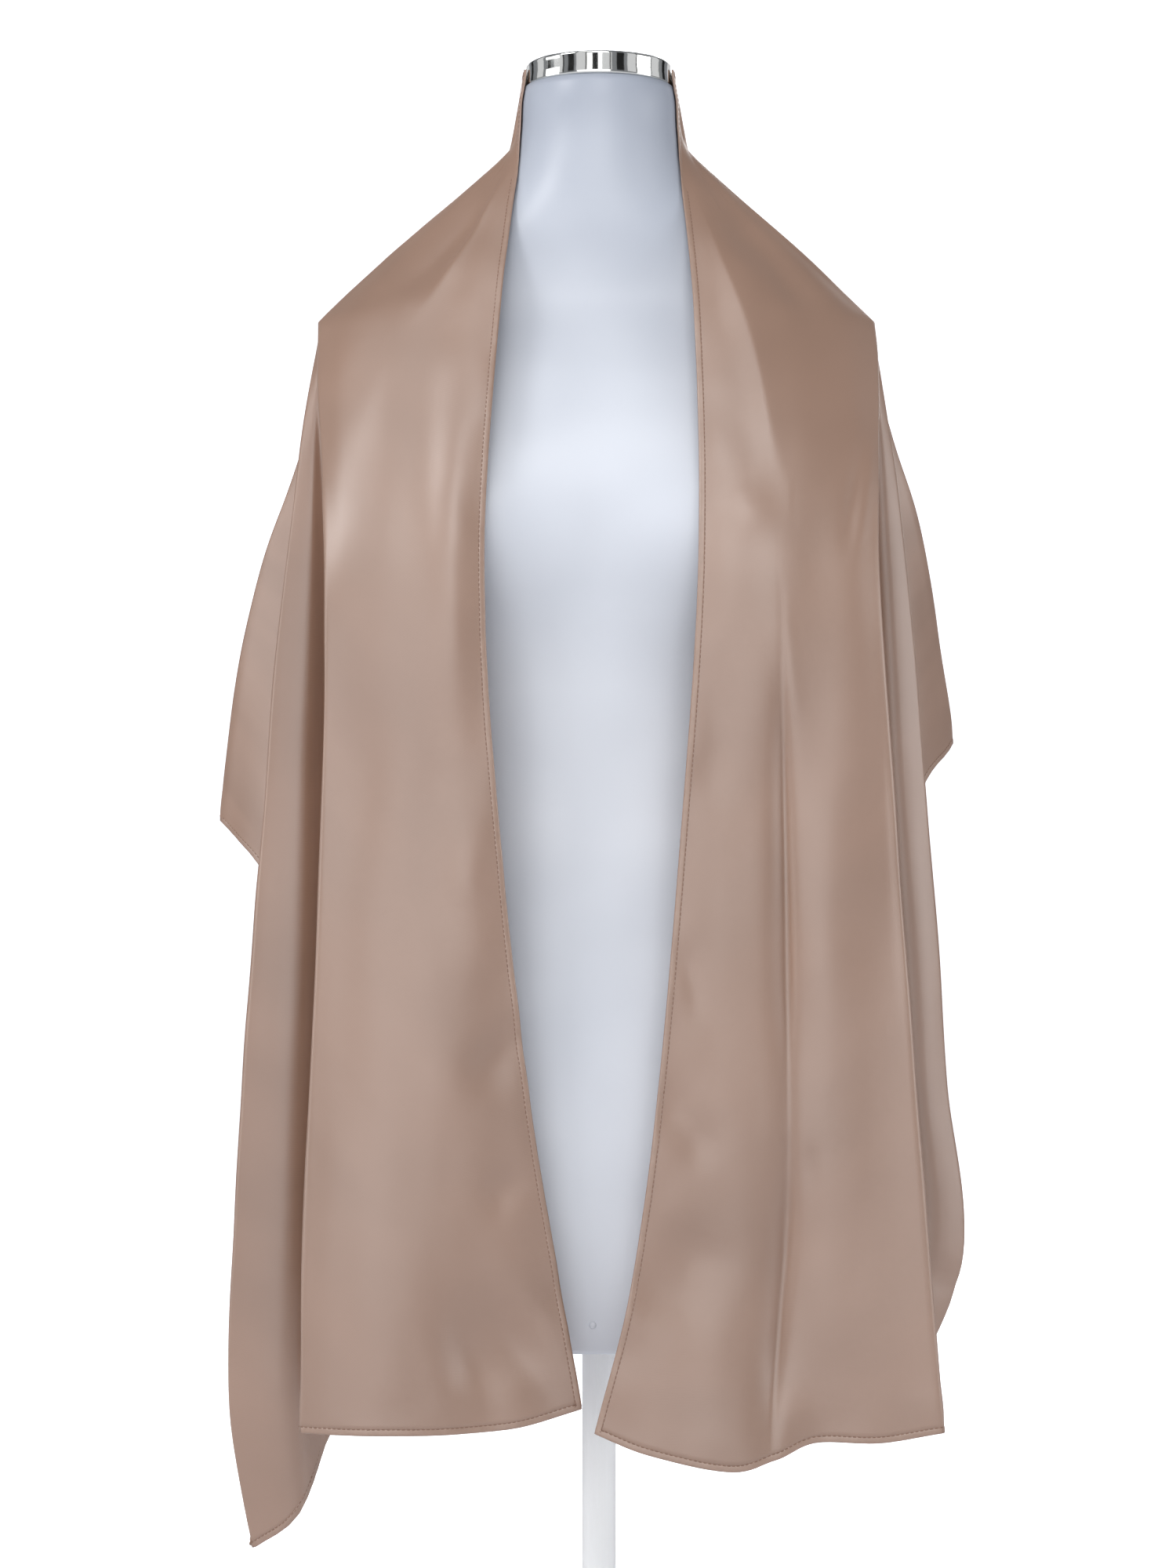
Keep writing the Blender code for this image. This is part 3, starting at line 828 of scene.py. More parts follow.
LEFT_RIBS = (
    Rib("front_edge", False, 196, (-62, -85, 858), (-70, -138), (-62, -139), (-43, -132), (-25, -127),
        (-11, -126, 181)),
    Rib("inner_crest", False, 191, (-80, -84, 858), (-88, -144), (-82, -144), (-68, -140),
        (-57, -138), (-48, -138, 172)),
    Rib("inner_trough", False, 187, (-100, -78, 858), (-106, -142), (-102, -143), (-94, -144),
        (-89, -147), (-86, -148, 170)),
    Rib("outer_crest", False, 183, (-128, -72, 858), (-132, -140), (-132, -142), (-131, -148),
        (-131, -155), (-130, -157, 171)),
    Rib("outer_slope", False, 180, (-156, -58, 858), (-154, -136), (-155, -138), (-158, -144),
        (-159, -151), (-160, -153, 171)),
    Rib("front_fold", True, 176, (-178.5, -37, 857), (-167.3, -131), (-169.2, -134), (-176.9, -137),
        (-180.8, -143), (-181.3, -145, 171)),
    Rib("front_valley", True, 171, (-180.5, -11, 858), (-136, -63), (-108, -85), (-82, -115),
        (-64, -119), (-50, -120, 205)),
    Rib("strip_inner", False, 166, (-181.5, -3, 858), (-173, 6), (-170, 14), (-168, 20), (-167, 24),
        (-168, 26, 145)),
    Rib("strip_middle", False, 162, (-182, 3, 858), (-188, -1), (-193, 0), (-199, 2), (-202, 4),
        (-196, 10, 85)),
    Rib("strip_fold", True, 158, (-182, 8, 858), (-207.5, 3), (-222, 5), (-237, 9), (-242.5, 12),
        (-228, 18, 61)),
    Rib("strip_back", False, 154, (-181.5, 14, 858), (-195, 28), (-207, 36), (-221, 42), (-226, 44),
        (-222, 44, 160)),
    Rib("side_valley", True, 149, (-180.5, 20, 858), (-168, 40), (-171, 50), (-180, 61), (-184, 66),
        (-187, 69, 420)),
    Rib("side_slope", False, 144, (-178.5, 27, 857), (-184, 50), (-199, 64), (-214, 74), (-221, 80),
        (-226, 84, 500)),
    Rib("back_tip", True, 139, (-175, 35, 857), (-200, 62), (-229, 84), (-248, 104), (-256, 113),
        (-261, 120, 537)),
    Rib("back_slope", False, 131, (-164, 46, 858), (-178, 78), (-196, 97), (-207, 109), (-213, 114),
        (-217, 118, 505)),
    Rib("back_crest", False, 122, (-141, 62, 860), (-152, 106), (-166, 131), (-177, 149), (-183, 156),
        (-186, 160, 475)),
    Rib("back_trough", False, 112, (-105, 77, 862), (-113, 111), (-120, 116), (-128, 119),
        (-132, 121), (-134, 122, 458)),
    Rib("back_ridge", False, 101, (-60, 86, 864), (-66, 122), (-73, 136), (-80, 148), (-83, 153),
        (-85, 156, 448)),
)
MIDDLE_RIBS = (
    Rib("back_middle", False, 90, (0, 90, 864), (0, 117), (2, 118), (3, 120), (3, 121), (3, 122, 442)),
)
RIGHT_RIBS = (
    Rib("back_ridge", False, 79, (60, 86, 864), (68, 121), (77, 134), (84, 145), (88, 150), (91, 153, 452)),
    Rib("back_trough", False, 68, (105, 77, 862), (115, 110), (123, 115), (131, 119), (135, 121),
        (138, 123, 468)),
    Rib("back_crest", False, 58, (141, 62, 860), (150, 104), (162, 129), (173, 146), (178, 153),
        (181, 157, 498)),
    Rib("back_slope", False, 49, (164, 46, 858), (174, 78), (188, 95), (198, 108), (203, 113),
        (206, 117, 545)),
    Rib("back_tip", True, 41, (174, 35, 857), (197, 60), (218, 84), (232, 104), (240, 114),
        (244, 120, 590)),
    Rib("side_slope", False, 36, (176.5, 27, 857), (182, 48), (194, 60), (207, 69), (213, 73),
        (217, 76, 555)),
    Rib("side_valley", True, 31, (178, 20, 858), (168, 40), (171, 50), (178, 59), (181, 63),
        (184, 66, 450)),
    Rib("strip_back", False, 26, (178.5, 14, 858), (192, 27), (204, 34), (216, 40), (219, 42),
        (216, 40, 255)),
    Rib("strip_fold", True, 22, (179, 8, 858), (201, 5), (214.5, 9), (228, 11), (237.5, 13), (206, 4, 172)),
    Rib("strip_middle", False, 18, (179, 3, 858), (186, -3), (194, -3), (207, -1), (214, 0),
        (188, -11, 180)),
    Rib("strip_inner", False, 14, (178.5, -3, 858), (171, 1), (173, 4), (180, 5), (182, 5), (163, -6, 194)),
    Rib("front_valley", True, 9, (177.5, -11, 858), (139, -63), (116, -85), (92, -111), (80, -114),
        (70, -116, 208)),
    Rib("front_fold", True, 4, (175.5, -37, 857), (170.5, -126), (179.5, -132), (193.4, -135),
        (201.8, -136), (209.2, -137, 169)),
    Rib("outer_slope", False, 0, (152, -58, 858), (153, -135), (158, -139), (166, -139), (170, -140),
        (172, -139, 163)),
    Rib("outer_crest", False, -3, (124, -72, 858), (127, -140), (132, -142), (138, -142), (139, -142),
        (131, -140, 163)),
    Rib("front_trough", False, -6, (104, -79, 858), (108, -143), (111, -142), (113, -140),
        (112, -142), (106, -146, 154)),
    Rib("middle_crest", False, -9, (88, -83, 858), (91, -143), (90, -143), (86, -142), (83, -145),
        (79, -151, 148)),
    Rib("inner_slope", False, -12, (73, -85, 858), (75, -142), (69, -144), (55, -144), (42, -146),
        (29, -149, 158)),
    Rib("front_edge", False, -16, (59, -85, 858), (60, -140), (50, -144), (34, -145), (18, -146),
        (-3, -146, 170)),
)
RIBS = LEFT_RIBS + MIDDLE_RIBS + RIGHT_RIBS
LEVEL_SHARES = {"bust": 0.23, "waist": 0.46, "hip": 0.72, "thigh": 0.88}


class Panel(Enum):
    """A stretch of the cloth: its first and last rib, and the way its creases are looked at."""

    LEFT_FRONT = (0, 5, "front")
    RIGHT_FRONT = (31, 37, "front")
    BACK = (13, 23, "front")
    LEFT_SIDE = (7, 12, "side")
    RIGHT_SIDE = (25, 30, "side")


class Crease(NamedTuple):
    """A soft ridge (height above 0) or trough (below 0) along a path, all in millimetres.

    The path's points are x and z on panels seen from the front or back, and y and z on the side panels,
    highest first. Skew from -1 to 1 widens the slope towards -x (above 0) or +x (below 0) and steepens
    the other. Crisp from 0 to 1 draws its line from soft to pointed.
    """

    height: float
    half_width: float
    path: tuple[tuple[float, float], ...]
    skew: float = 0.0
    crisp: float = 0.0


CREASES = {
    Panel.LEFT_FRONT: (
        Crease(8.5, 15, ((-57, 956), (-71, 926), (-85, 899), (-101, 872), (-114, 856)), 0.2, 1.0),
        Crease(-7.0, 17, ((-64, 944), (-92, 908), (-118, 882), (-140, 868)), 0.0, 0.3),
        Crease(-2.6, 18, ((-79, 647), (-82, 609), (-85, 566), (-78, 533))),
        Crease(1.8, 14, ((-63, 535), (-72, 514), (-83, 486))),
        Crease(2.2, 18, ((-103, 500), (-101, 467), (-98, 372), (-92, 330))),
        Crease(-2.8, 12, ((-50, 418), (-62, 398), (-78, 372))),
        Crease(-2.4, 10, ((-43, 330), (-56, 316), (-73, 306))),
        Crease(-9.0, 38, ((-34, 236), (-70, 214), (-98, 206))),
        Crease(1.8, 10, ((-98, 188), (-62, 190), (-30, 194))),
        Crease(-1.4, 16, ((-146, 640), (-142, 560), (-146, 470))),
    ),
    Panel.RIGHT_FRONT: (
        Crease(3.4, 15, ((57, 951), (74, 900), (88, 857), (96, 826), (105, 776), (117, 735)), -0.35, 0.8),
        Crease(-5.0, 14, ((76, 936), (114, 892), (144, 852))),
        Crease(1.2, 5, ((170, 782), (161, 730), (156, 698))),
        Crease(-1.2, 5, ((163, 770), (154, 726), (150, 700))),
        Crease(1.6, 12, ((82, 742), (90, 728), (96, 712))),
        Crease(1.2, 7, ((106, 690), (112, 628), (116, 590))),
        Crease(-5.0, 30, ((110, 650), (113, 600), (114, 500), (115, 424), (116, 330)), 0.0, 1.0),
        Crease(-4.8, 5.5, ((109, 680), (111, 600), (113, 500), (114, 424), (115, 330)), 0.35, 0.6),
        Crease(-7.0, 32, ((116, 345), (115, 300), (111, 240), (106, 180), (104, 150)), 0.0, 1.0),
        Crease(-5.0, 6.5, ((115, 380), (114, 300), (110, 240), (105, 180), (103, 150)), 0.35, 0.6),
        Crease(1.8, 14, ((134, 590), (136, 500), (138, 396))),
        Crease(-1.4, 6, ((45, 467), (55, 448), (61, 420))),
        Crease(-3.0, 14, ((34, 379), (50, 358), (72, 329))),
        Crease(-5.0, 26, ((64, 300), (50, 268), (31, 234))),
        Crease(-1.0, 5, ((129, 344), (127, 313))),
        Crease(-1.4, 16, ((166, 620), (172, 500), (176, 380))),
        Crease(-1.4, 12, ((70, 640), (72, 580), (66, 530))),
    ),
    Panel.BACK: (
        Crease(-3.0, 14, ((-30, 960), (-70, 905), (-130, 845), (-168, 800))),
        Crease(2.6, 12, ((-20, 930), (-62, 860), (-120, 790), (-160, 740))),
        Crease(-2.6, 15, ((34, 962), (78, 900), (128, 850), (162, 812))),
        Crease(2.2, 12, ((18, 925), (56, 865), (104, 806), (150, 760))),
        Crease(-2.4, 18, ((-40, 840), (-44, 740), (-38, 620), (-42, 520))),
        Crease(2.0, 15, ((34, 830), (30, 720), (36, 600), (34, 500))),
        Crease(-1.8, 12, ((-150, 760), (-142, 680), (-150, 600))),
        Crease(1.6, 10, ((-104, 700), (-98, 620), (-106, 540))),
        Crease(-2.0, 12, ((152, 740), (160, 670), (158, 590))),
        Crease(1.8, 11, ((112, 720), (116, 640), (120, 560))),
    ),
    Panel.LEFT_SIDE: (
        Crease(-1.6, 8, ((-12, 700), (-18, 600), (-14, 480))),
        Crease(1.4, 8, ((4, 560), (8, 450), (6, 330))),
        Crease(-1.6, 9, ((-14, 330), (-8, 250), (2, 180))),
    ),
    Panel.RIGHT_SIDE: (
        Crease(-1.6, 8, ((-14, 690), (-20, 590), (-16, 470))),
        Crease(1.4, 8, ((2, 550), (4, 440), (2, 330))),
        Crease(-1.8, 6, ((-6, 255), (4, 238), (12, 226))),
    ),
}
CREASE_LEGS = 4
CREASE_FADE = 0.35
CREASE_LEAST = 0.15
CREASE_PAST_END = 0.5


@dataclass
class Scarf:
    """One rectangle of satin, hemmed all round and draped over the form."""

    MAP = "cloth metres"

    cut: tuple[float, float] = (0.60, 1.93)
    wall: float = 0.0006
    rest_gap: float = 0.0009
    neck_edge_radius: float = 0.0491
    neck_edge_top: float = 1.0235
    neck_foot_top: float = 0.974
    neck_foot_front: float = 0.0525
    neck_foot_side: float = 0.0585
    foot_turn: float = 24.0
    tip_from: float = 0.13
    tip_to: float = 0.172
    tip_corner: float = 0.80
    foot_corner: float = 0.92
    fold_points: int = 5
    fold_radius: float = 0.0026
    fold_least: float = 0.0022
    fold_share: float = 0.36
    least_turn: float = 2.0
    rows: tuple[int, ...] = (8, 24, 22, 22, 24, 15, 13)
    front_step: float = 0.0048
    crease_step: float = 0.0024
    hidden_step: float = 0.0120
    main_fold: str = "front_trough"
    wave_height: float = 0.0016
    wave_size: tuple[float, float] = (0.055, 0.150)
    small_wave: float = 0.4
    small_wave_ratio: float = 2.3
    waves_from: float = 0.03
    waves_over: float = 0.15
    flute_height: float = 0.0014
    flute_depth: float = 0.022
    flute_size: float = 0.026
    flute_seed: float = 5.3
    flutes_from: float = 0.10
    flutes_over: float = 0.10
    fade_columns: float = 4.0
    grid: np.ndarray = field(init=False, repr=False)
    normals: np.ndarray = field(init=False, repr=False)
    rib_columns: list = field(init=False, repr=False)

    def rib_curve(self, rib: Rib) -> np.ndarray:
        """Reads one rib at every row of the cloth.

        Args:
            rib: the rib.

        Returns:
            One point for each row.
        """
        angle = math.radians(rib.neck)
        outward = np.array([math.cos(angle), math.sin(angle), 0])
        past_edge = min(RIBS[0].neck - rib.neck, rib.neck - RIBS[-1].neck)
        turn = min(1.0, max(0.0, past_edge / self.foot_turn))
        side = self.neck_foot_side - self.neck_foot_front
        foot_radius = self.neck_foot_front + side * math.sin(turn * math.pi / 2)
        shoulder = np.array(rib.shoulder) * MM
        hem = np.array(rib.hem) * MM
        points = [outward * self.neck_edge_radius + (0, 0, self.neck_edge_top),
                  outward * foot_radius + (0, 0, self.neck_foot_top), shoulder]
        for level, share in LEVEL_SHARES.items():
            x, y = getattr(rib, level)
            points.append(np.array([x * MM, y * MM, shoulder[2] + (hem[2] - shoulder[2]) * share]))
        points = np.array([*points, hem])
        knots = lengths_along(points)
        corner = np.clip((abs(shoulder[0]) - self.tip_from) / (self.tip_to - self.tip_from), 0, 1)
        corners = np.zeros(len(points))
        corners[1] = corner * self.foot_corner
        corners[2] = corner * self.tip_corner
        return smooth_curve(knots, points, share_out(knots, self.rows), corners)

    def fold_arc(self, before: Vector, fold: Vector, after: Vector, along: Vector) -> list:
        """Turns the cloth at a fold on a small arc, square to the fold's own direction.

        Args:
            before: the neighbouring rib's point on one side.
            fold: the fold's point, the farthest of the arc.
            after: the neighbouring rib's point on the other side.
            along: the fold's direction.

        Returns:
            The arc's points.
        """
        to_before = (before - fold) - along * (before - fold).dot(along)
        to_after = (after - fold) - along * (after - fold).dot(along)
        room = self.fold_share * min(to_before.length, to_after.length)
        to_before.normalize()
        to_after.normalize()
        inward = to_before + to_after
        side = (to_before - to_after).normalized()
        half_turn = max(math.asin(min(1.0, inward.length / 2)), math.radians(self.least_turn))
        inward.normalize()
        half_length = min(max(self.fold_radius * half_turn, self.fold_least), room)
        radius = half_length / half_turn
        centre = fold + inward * radius
        reach = self.fold_points // 2
        arc = []
        for k in range(-reach, reach + 1):
            angle = half_turn * k / reach
            arc.append(centre - inward * (radius * math.cos(angle)) - side * (radius * math.sin(angle)))
        return arc

    def lay_grid(self, form: DressForm) -> None:
        """Works out the cloth's middle surface from the ribs, and where each rib's column lies.

        Args:
            form: what the cloth rests on.
        """
        by_rib = [self.rib_curve(rib) for rib in RIBS]
        last = sum(self.rows)
        rows = []
        for r in range(last + 1):
            points = [Vector(rib[r]) for rib in by_rib]
            row = []
            for i, rib in enumerate(RIBS):
                if rib.fold:
                    along = Vector(by_rib[i][min(r + 1, last)] - by_rib[i][max(r - 1, 0)]).normalized()
                    row += self.fold_arc(points[i - 1], points[i], points[i + 1], along)
                else:
                    row.append(points[i])
            rows.append(row)
        rows = np.array([[tuple(p) for p in row] for row in rows])
        owners = []
        for i, rib in enumerate(RIBS):
            owners += [i] * (self.fold_points if rib.fold else 1)
        widest = np.linalg.norm(np.diff(rows, axis=1), axis=2).max(axis=0)
        counts = []
        for k, width in enumerate(widest):
            counts.append(max(1, math.ceil(width / self.step_after(owners[k], owners[k + 1]))))
        grid = []
        for row in rows:
            spans = np.sqrt(np.linalg.norm(np.diff(row, axis=0), axis=1))
            knots = np.concatenate([[0], np.cumsum(np.maximum(spans, 1e-4))])
            grid.append(smooth_curve(knots, row, share_out(knots, counts)))
        self.grid = form.push_out(np.array(grid), self.rest_gap + self.wall / 2)
        self.rib_columns = []
        for i in range(len(RIBS)):
            own = [k for k, owner in enumerate(owners) if owner == i]
            self.rib_columns.append(sum(counts[:own[len(own) // 2]]))

    def step_after(self, low: int, high: int) -> float:
        """The width of a column between two ribs: fine in front, finest at the main fold.

        Args:
            low: the first rib's number.
            high: the second rib's number.

        Returns:
            The widest that a column may be.
        """
        if self.main_fold in (RIBS[low].name, RIBS[high].name):
            return self.crease_step
        front = low < Panel.LEFT_FRONT.value[1] or low >= Panel.RIGHT_FRONT.value[0]
        return self.front_step if front else self.hidden_step

    def find_normals(self) -> None:
        """Works out the cloth's outward direction at each point of the grid."""
        along = np.gradient(self.grid, axis=0)
        sideways = np.gradient(self.grid, axis=1)
        normals = np.cross(sideways, along)
        self.normals = normals / np.linalg.norm(normals, axis=2)[:, :, None]

    def panel_weight(self, panel: Panel) -> np.ndarray:
        """How far each column belongs to a panel, fading over a few columns at its folds.

        Args:
            panel: the panel.

        Returns:
            One weight for each column.
        """
        first, last, _ = panel.value
        column = np.arange(self.grid.shape[1])
        low = self.rib_columns[first]
        high = self.rib_columns[last]
        weight = np.ones(len(column))
        if first > 0:
            weight *= ease((column - low) / self.fade_columns)
        if last < len(RIBS) - 1:
            weight *= ease((high - column) / self.fade_columns)
        return weight * ((column >= low) & (column <= high))

    def lay_creases(self, creases: dict, form: DressForm) -> None:
        """Lays creases, slow waves and the hem's small flutes on the grid.

        Args:
            creases: the listed creases, by panel.
            form: what the cloth rests on.
        """
        self.find_normals()
        lift = np.zeros(self.grid.shape[:2])
        for panel, own in creases.items():
            seen = self.grid[:, :, (0, 2) if panel.value[2] == "front" else (1, 2)]
            weight = self.panel_weight(panel)
            for crease in own:
                lift += crease_lift(seen, crease) * weight[None, :]
        lift += self.slow_waves()
        lift += self.hem_flutes()
        lifted = self.grid + self.normals * lift[:, :, None]
        self.grid = form.push_out(lifted, self.rest_gap + self.wall / 2)
        self.find_normals()

    def metres(self) -> tuple[np.ndarray, np.ndarray]:
        """Distances along the cloth.

        Returns:
            Across from the left front edge, and down from the neck edge, for each point of the grid.
        """
        across = np.linalg.norm(np.diff(self.grid, axis=1), axis=2)
        down = np.linalg.norm(np.diff(self.grid, axis=0), axis=2)
        across = np.concatenate([np.zeros((len(self.grid), 1)), np.cumsum(across, axis=1)], axis=1)
        down = np.concatenate([np.zeros((1, self.grid.shape[1])), np.cumsum(down, axis=0)], axis=0)
        return across, down

    def slow_waves(self) -> np.ndarray:
        """Low, slow waves over the hanging cloth, longer down it than across.

        Returns:
            The lift at each point of the grid.
        """
        _, down = self.metres()
        wide, tall = self.wave_size
        place = self.grid / (wide, wide, tall)
        lift = noise_over(place) + self.small_wave * noise_over(place * self.small_wave_ratio)
        return lift * self.wave_height * ease((down - self.waves_from) / self.waves_over)

    def hem_flutes(self) -> np.ndarray:
        """Small flutes that the hem's stitching draws into the cloth beside it.

        Returns:
            The lift at each point of the grid.
        """
        across, down = self.metres()
        to_hem = down[-1:, :] - down
        to_edge = np.minimum(across, across[:, -1:] - across)
        beside_hem = np.exp(-(to_hem / self.flute_depth) ** 2)
        beside_edge = np.exp(-(to_edge / self.flute_depth) ** 2)
        beside_edge *= ease((down - self.flutes_from) / self.flutes_over)
        flutes = noise_over(self.grid / self.flute_size + self.flute_seed)
        return flutes * np.maximum(beside_hem, beside_edge) * self.flute_height

    def build_cloth(self, satin: Material) -> bpy.types.Object:
        """Makes the closed thin wall of the whole cloth.

        Args:
            satin: the material.

        Returns:
            The piece.
        """
        height, width = self.grid.shape[:2]
        layer = width * height
        outer = self.grid + self.normals * self.wall / 2
        inner = self.grid - self.normals * self.wall / 2
        points = np.concatenate([outer.reshape(-1, 3), inner.reshape(-1, 3)])
        faces = []
        for r in range(height - 1):
            for c in range(width - 1):
                a = r * width + c
                faces.append((a, a + 1, a + width + 1, a + width))
                faces.append((layer + a, layer + a + width, layer + a + width + 1, layer + a + 1))
        rim = self.rim()
        for a, b in zip(rim, rim[1:] + rim[:1]):
            faces.append((b, a, layer + a, layer + b))
        cloth = add_piece("satin_scarf", points, faces, satin, "satin")
        across, down = self.metres()
        middle = self.rib_columns[len(LEFT_RIBS)]
        across[:, middle:] = 2 * across[:, middle:middle + 1] - across[:, middle:]
        flat = np.stack([across.ravel(), down.ravel()], axis=1)
        flat = np.concatenate([flat, flat])
        corners = np.empty(len(cloth.data.loops), dtype=np.int32)
        cloth.data.loops.foreach_get("vertex_index", corners)
        layer_map = cloth.data.uv_layers.new(name=self.MAP)
        layer_map.uv.foreach_set("vector", flat[corners].astype(np.float32).ravel())
        return cloth

    def rim(self) -> list:
        """Follows the grid's border round the cloth.

        Returns:
            The border's point numbers, in order.
        """
        height, width = self.grid.shape[:2]
        rim = list(range(width))
        rim += [r * width + width - 1 for r in range(1, height)]
        rim += [(height - 1) * width + c for c in range(width - 2, -1, -1)]
        rim += [r * width for r in range(height - 2, 0, -1)]
        return rim

    def border(self) -> tuple[np.ndarray, np.ndarray, np.ndarray]:
        """The cloth's border as a closed path.

        Returns:
            The points, the cloth's outward directions, and the directions into the cloth.
        """
        height, width = self.grid.shape[:2]
        rim = np.array(self.rim())
        row, column = rim // width, rim % width
        edge = self.grid[row, column]
        out = self.normals[row, column]
        inner_row = np.clip(row, 1, height - 2)
        inner_column = np.clip(column, 1, width - 2)
        inward = self.grid[inner_row, inner_column] - edge
        step = np.roll(edge, -1, axis=0) - np.roll(edge, 1, axis=0)
        step /= np.linalg.norm(step, axis=1)[:, None]
        inward -= step * np.sum(inward * step, axis=1)[:, None]
        inward -= out * np.sum(inward * out, axis=1)[:, None]
        inward /= np.linalg.norm(inward, axis=1)[:, None]
        return edge, out, inward


def noise_over(places: np.ndarray) -> np.ndarray:
    """Smooth noise from -1 to 1, read at a grid of places.

    Args:
        places: x, y and z for each point of the grid, in noise cells.

    Returns:
        One value for each point.
    """
    values = [noise.noise(Vector(place)) for place in places.reshape(-1, 3)]
    return np.array(values).reshape(places.shape[:2])


def crease_lift(seen: np.ndarray, crease: Crease) -> np.ndarray:
    """The lift that one crease gives to the points of the grid.

    Args:
        seen: the grid's points as they are seen, two numbers each, in metres.
        crease: the crease.

    Returns:
        The lift of each point, in metres.
    """
    path = np.array(crease.path) * MM
    steps = np.linspace(0, len(path) - 1, CREASE_LEGS * len(path))
    path = smooth_curve(np.arange(len(path)), path, steps)
    lengths = lengths_along(path)
    best = np.full(seen.shape[:2], 1e9)
    place = np.zeros(seen.shape[:2])
    side = np.zeros(seen.shape[:2])
    for k in range(len(path) - 1):
        leg = path[k + 1] - path[k]
        t = np.clip(((seen - path[k]) @ leg) / (leg @ leg), 0, 1)
        away = np.linalg.norm(seen - path[k] - t[:, :, None] * leg, axis=2)
        nearer = away < best
        best = np.where(nearer, away, best)
        turn = (seen[:, :, 0] - path[k][0]) * -leg[1] + (seen[:, :, 1] - path[k][1]) * leg[0]
        side = np.where(nearer, np.sign(turn), side)
        place = np.where(nearer, lengths[k] + t * (lengths[k + 1] - lengths[k]), place)
    share = place / lengths[-1]
    fade = ease(share / CREASE_FADE) * ease((1 - share) / CREASE_FADE)
    fade = CREASE_LEAST + (1 - CREASE_LEAST) * fade
    end = np.where((share <= 0) | (share >= 1), CREASE_PAST_END, 1.0)
    width = crease.half_width * MM * (1 - crease.skew * side)
    return crease.height * MM * fade * end * np.exp(-(best / width) ** (2 - crease.crisp))


@dataclass
class Hem:
    """The narrow turned hem that runs round the whole scarf, and its line of stitches."""

    width: float = 0.0042
    depth: float = 0.0011
    station: float = 0.0026
    section_points: int = 10
    pucker: float = 0.00018
    stitch_line: float = 0.0034
    pitch: float = 0.0030
    stitch_length: float = 0.0021
    stitch_radius: float = 0.00027
    stitch_sides: int = 5
    stitch_shape: tuple[tuple[float, float], ...] = ((-0.5, 0.35), (-0.3, 1.0), (0.3, 1.0), (0.5, 0.35))
    stitch_lift: float = 0.34
    squareness: float = 0.7
    overhang: float = 0.0004
    pucker_cell: float = 0.004
    pucker_row: float = 0.3
    pucker_shift: float = 0.15

    def spread(self, scarf: Scarf, step: float) -> tuple[np.ndarray, np.ndarray, np.ndarray]:
        """Reads the scarf's border at even steps.

        Args:
            scarf: the scarf.
            step: about how far apart.

        Returns:
            The points, the outward directions and the directions into the cloth.
        """
        edge, out, inward = scarf.border()
        closed = [np.vstack([values, values[:1]]) for values in (edge, out, inward)]
        knots = lengths_along(closed[0])
        count = int(round(knots[-1] / step))
        at = np.linspace(0, knots[-1], count, endpoint=False)
        read = []
        for values in closed:
            read.append(np.column_stack([np.interp(at, knots, values[:, k]) for k in range(3)]))
        return read[0], unit(read[1]), unit(read[2])

    def build(self, scarf: Scarf, satin: Material) -> bpy.types.Object:
        """Makes the turned hem as one closed band.

        Args:
            scarf: the scarf it is sewn to.
            satin: the material.

        Returns:
            The piece.
        """
        edge, out, inward = self.spread(scarf, self.station)
        count = len(edge)
        sides = self.section_points
        rings = []
        for k in range(sides):
            angle = 2 * math.pi * k / sides
            c, s = math.cos(angle), math.sin(angle)
            wide = math.copysign(abs(c) ** self.squareness, c) * self.width / 2
            deep = math.copysign(abs(s) ** self.squareness, s) * self.depth / 2
            places = [(i * self.station / self.pucker_cell, self.pucker_row, k * self.pucker_shift)
                      for i in range(count)]
            lift = deep + noise_over(np.array([places]))[0] * self.pucker
            inset = self.width / 2 - self.overhang - wide
            rings.append(edge + inward * inset + out * lift[:, None])
        points = np.stack(rings, axis=1).reshape(-1, 3)
        return add_piece("scarf_hem", points, band_faces(count, sides, closed=True), satin, "satin")

    def build_stitches(self, scarf: Scarf, thread: Material) -> bpy.types.Object:
        """Makes the stitches on both faces of the hem as small slim beads.

        Args:
            scarf: the scarf.
            thread: the material.

        Returns:
            The piece.
        """
        edge, out, inward = self.spread(scarf, self.pitch)
        ahead = unit(np.roll(edge, -1, axis=0) - np.roll(edge, 1, axis=0))
        points = []
        faces = []
        for face in (1, -1):
            middle = edge + inward * self.stitch_line + out * (face * self.depth * self.stitch_lift)
            for i in range(len(edge)):
                start = len(points)
                for share, thick in self.stitch_shape:
                    for k in range(self.stitch_sides):
                        angle = 2 * math.pi * k / self.stitch_sides
                        offset = inward[i] * math.cos(angle) + out[i] * (face * math.sin(angle))
                        points.append(middle[i] + ahead[i] * (share * self.stitch_length)
                                      + offset * (self.stitch_radius * thick))
                own = skin_faces(len(self.stitch_shape), self.stitch_sides, start)
                faces += own if face > 0 else [corners[::-1] for corners in own]
        return add_piece("hem_stitches", np.array(points), faces, thread, "satin")


def unit(vectors: np.ndarray) -> np.ndarray:
    """The vectors at unit length."""
    return vectors / np.linalg.norm(vectors, axis=1)[:, None]


class Softbox(NamedTuple):
    """A soft light: where it hangs, what it looks at, its size, its power and its beam in degrees."""

    name: str
    place: tuple[float, float, float]
    aim: tuple[float, float, float]
    size: tuple[float, float]
    watts: float
    spread: float = 180.0


class Card(NamedTuple):
    """A card that stands round the set for the chrome to mirror: its bearing from the camera's side in
    degrees, its width, and whether it glows or is black."""

    bearing: float
    width: float
    glows: bool


